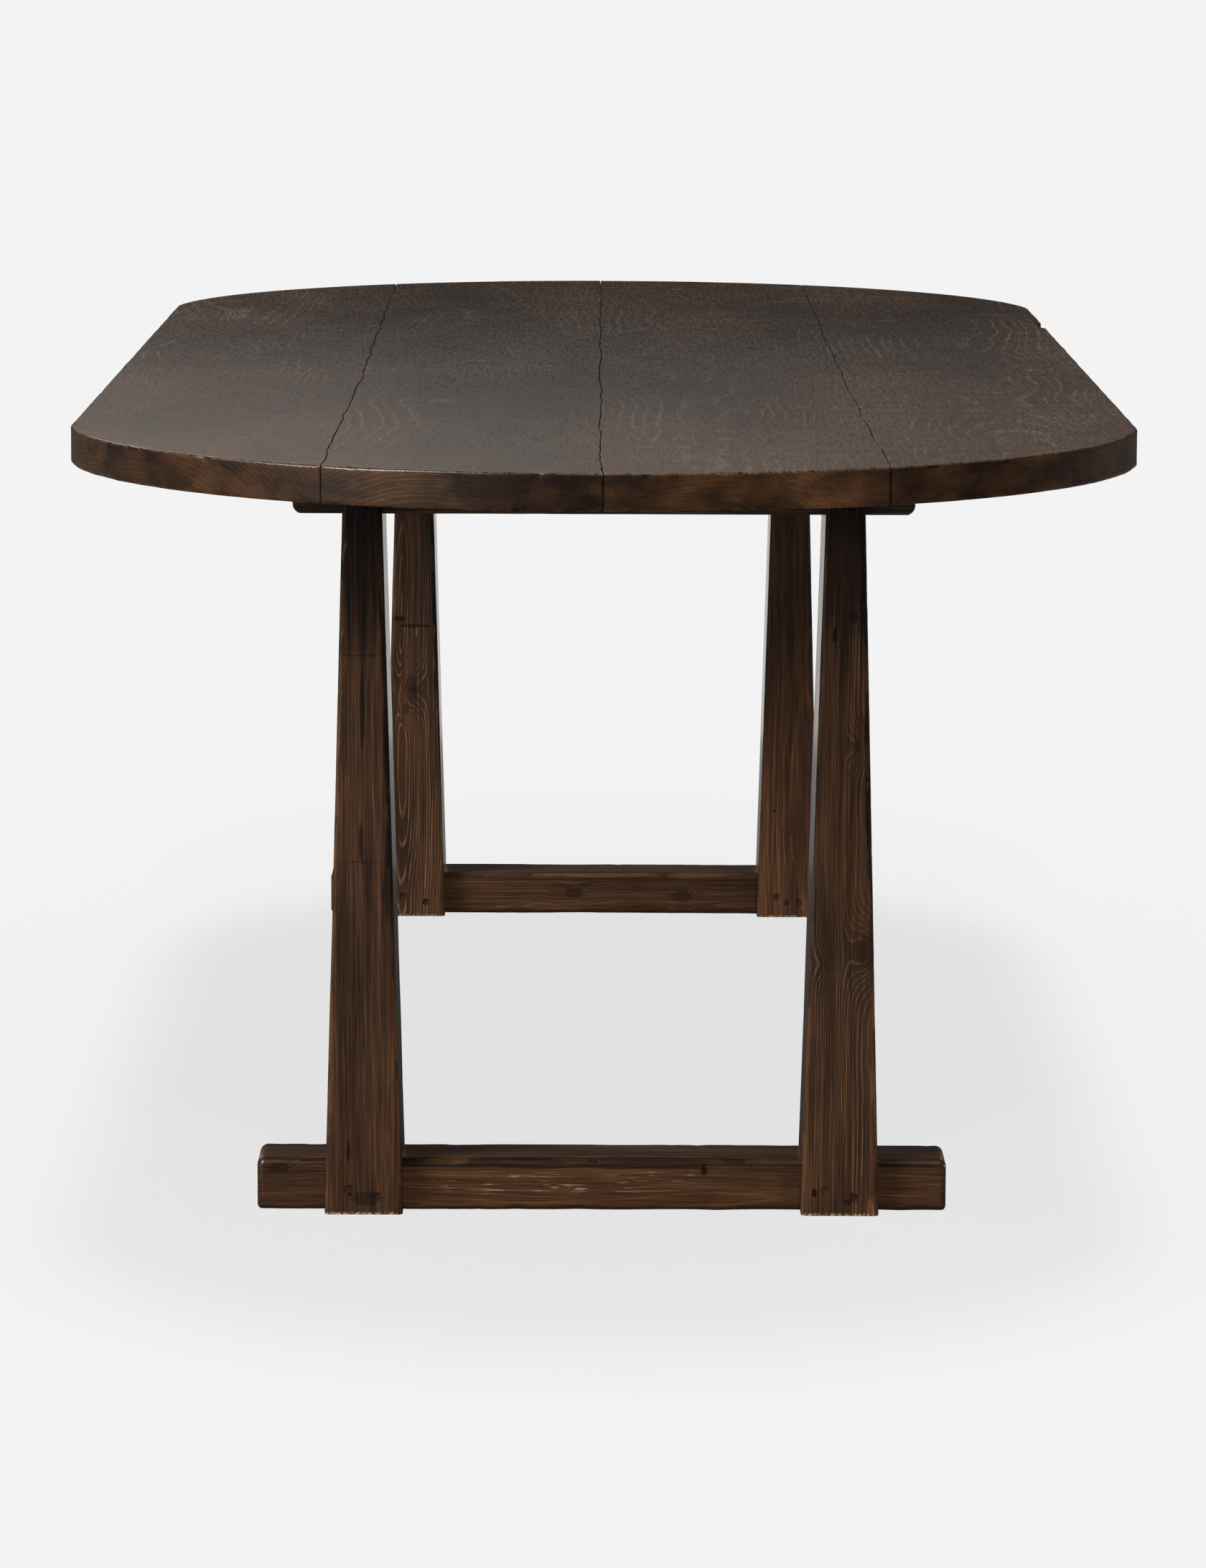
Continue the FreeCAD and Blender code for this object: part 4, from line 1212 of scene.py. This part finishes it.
def stage_floor():
    """Pale floor: shows its plain tone and the table's shadow to the camera, and lights the table gently."""
    mesh = bpy.data.meshes.new("floor")
    corners = [(x * FLOOR_HALF, y * FLOOR_HALF, 0) for x, y in ((-1, -1), (1, -1), (1, 1), (-1, 1))]
    mesh.from_pydata(corners, [], [(0, 1, 2, 3)])
    floor = add_object("floor", mesh)
    graph = Graph(bpy.data.materials.new("floor"))

    # In the wood's gloss the floor is dark under the camera and pale beyond the near frame
    across, along, _ = graph.parts(graph.place())
    beyond = graph.ramp(along, -1.3, 0.1, FLOOR_GLOSS_NEAR, FLOOR_GLOSS_FAR)
    beyond = beyond * graph.ramp(graph.math("ABSOLUTE", across), 0.35, 0.75, 1.0, 0.3)
    bounced, mirrored, shown = (
        graph.made("ShaderNodeBsdfDiffuse", graph.grey(tone)) for tone in (FLOOR_BOUNCE, beyond, FLOOR_SHOWN)
    )
    shown = graph.made("ShaderNodeAddShader", shown, graph.made("ShaderNodeEmission", WHITE, FLOOR_GLOW))
    shader = graph.made("ShaderNodeMixShader", graph.ray("Glossy"), bounced, mirrored)
    shader = graph.made("ShaderNodeMixShader", graph.ray("Camera"), shader, shown)
    floor.data.materials.append(graph.output(shader))
    return floor


def set_world():
    """Even surroundings: pale to the camera, dim in reflections like an unlit room above the floor."""
    world = bpy.data.worlds.new("studio")
    bpy.context.scene.world = world
    graph = Graph(world)
    shader = graph.made("ShaderNodeBackground", WHITE, WORLD_LIGHT)
    for kind, strength in (("Glossy", WORLD_GLOSS), ("Camera", BACKGROUND)):
        light = graph.made("ShaderNodeBackground", WHITE, strength)
        shader = graph.made("ShaderNodeMixShader", graph.ray(kind), shader, light)
    graph.output(shader, "World")


def add_lamp(name, kind, place, aim, energy, **settings):
    """Lamp aimed at a point."""
    data = bpy.data.lights.new(name, kind)
    data.energy = energy
    for key, setting in settings.items():
        setattr(data, key, setting)
    lamp = add_object(name, data)
    lamp.location = place
    lamp.rotation_euler = (Vector(aim) - Vector(place)).to_track_quat("-Z", "Y").to_euler()
    lamp.visible_camera = False
    return lamp


def flag(lamp, receivers, state):
    """Keeps a lamp's light off some objects, or on them alone."""
    group = bpy.data.collections.new(f"{lamp.name}_receivers")
    for number, receiver in enumerate(receivers):
        group.objects.link(receiver)
        group.collection_objects[number].light_linking.link_state = state
    lamp.light_linking.receiver_collection = group


def add_card(name, place, aim, width, height, radiance, receivers, state="EXCLUDE"):
    """Flat panel of even light that brightens the edges and faces that mirror it."""
    card = add_lamp(
        name, "AREA", place, aim, radiance * math.pi * width * height,
        shape="RECTANGLE", size=width, size_y=height, color=CARD_COLOUR,
    )
    flag(card, receivers, state)


def set_lamps(floor, legs, planks):
    """Key from the front left, weaker lights from the right and from low in front, and cards for sheen."""
    for name, place, strength, across, mirrored in SUNS:
        lamp = add_lamp(name, "SUN", place, (0, 0, 0), strength, angle=math.radians(across))
        lamp.visible_glossy = mirrored
        flag(lamp, [floor], "EXCLUDE")
    for number, (lean, strength) in enumerate(OVERHEADS):
        place = (0, OVERHEAD_HEIGHT * lean, OVERHEAD_HEIGHT)
        angle = math.radians(OVERHEAD_ANGLE)
        lamp = add_lamp(f"overhead_{number}", "SUN", place, (0, 0, 0), strength, angle=angle)
        flag(lamp, [floor], "INCLUDE")
    height = BACK_HIGH - BACK_LOW
    middle = (BACK_HIGH + BACK_LOW) / 2
    width = (BACK_RIGHT - BACK_LEFT) / BACK_STRIPS
    for number in range(BACK_STRIPS):
        x = BACK_LEFT + (number + 0.5) * width
        fade = BACK_FADE * float(smooth(-BACK_FADE_REACH, BACK_FADE_REACH, x))
        place = (x, BACK_Y, middle)
        aim = (x, BACK_Y - 1, middle)
        add_card(f"back_{number}", place, aim, width, height, BACK_RADIANCE * (1 - fade), [floor])
    lit = {"legs": (legs, "INCLUDE"), "planks": (planks, "INCLUDE"), "table": ([floor], "EXCLUDE")}
    for name, place, aim, width, height, radiance, target in CARDS:
        add_card(name, place, aim, width, height, radiance, *lit[target])


def set_camera():
    """Camera at the photograph's viewpoint."""
    data = bpy.data.cameras.new("camera")
    data.sensor_fit = "AUTO"
    data.sensor_width = SENSOR_MM
    data.lens = FOCAL_PIXELS * SENSOR_MM / max(IMAGE_WIDTH, IMAGE_HEIGHT)
    data.clip_end = FARTHEST_SEEN
    camera = add_object("camera", data)
    ahead = Matrix(((1, 0, 0), (0, 0, -1), (0, 1, 0)))
    turned = Matrix.Rotation(-CAMERA_YAW, 3, "Z")
    tilted = Matrix.Rotation(CAMERA_PITCH, 3, "X")
    rolled = Matrix.Rotation(CAMERA_ROLL, 3, "Z")
    right, down, forward = rolled @ tilted @ ahead @ turned
    columns = Matrix((right, -Vector(down), -Vector(forward))).transposed()
    camera.matrix_world = Matrix.Translation(CAMERA_PLACE) @ columns.to_4x4()
    bpy.context.scene.camera = camera


bpy.context.scene.view_settings.view_transform = "Standard"
set_world()
set_lamps(
    stage_floor(),
    [bpy.data.objects[f"{name}_wood"] for name in LEGS],
    [bpy.data.objects[f"top_board_{name}_wood"] for name, _, _ in BOARDS],
)
set_camera()
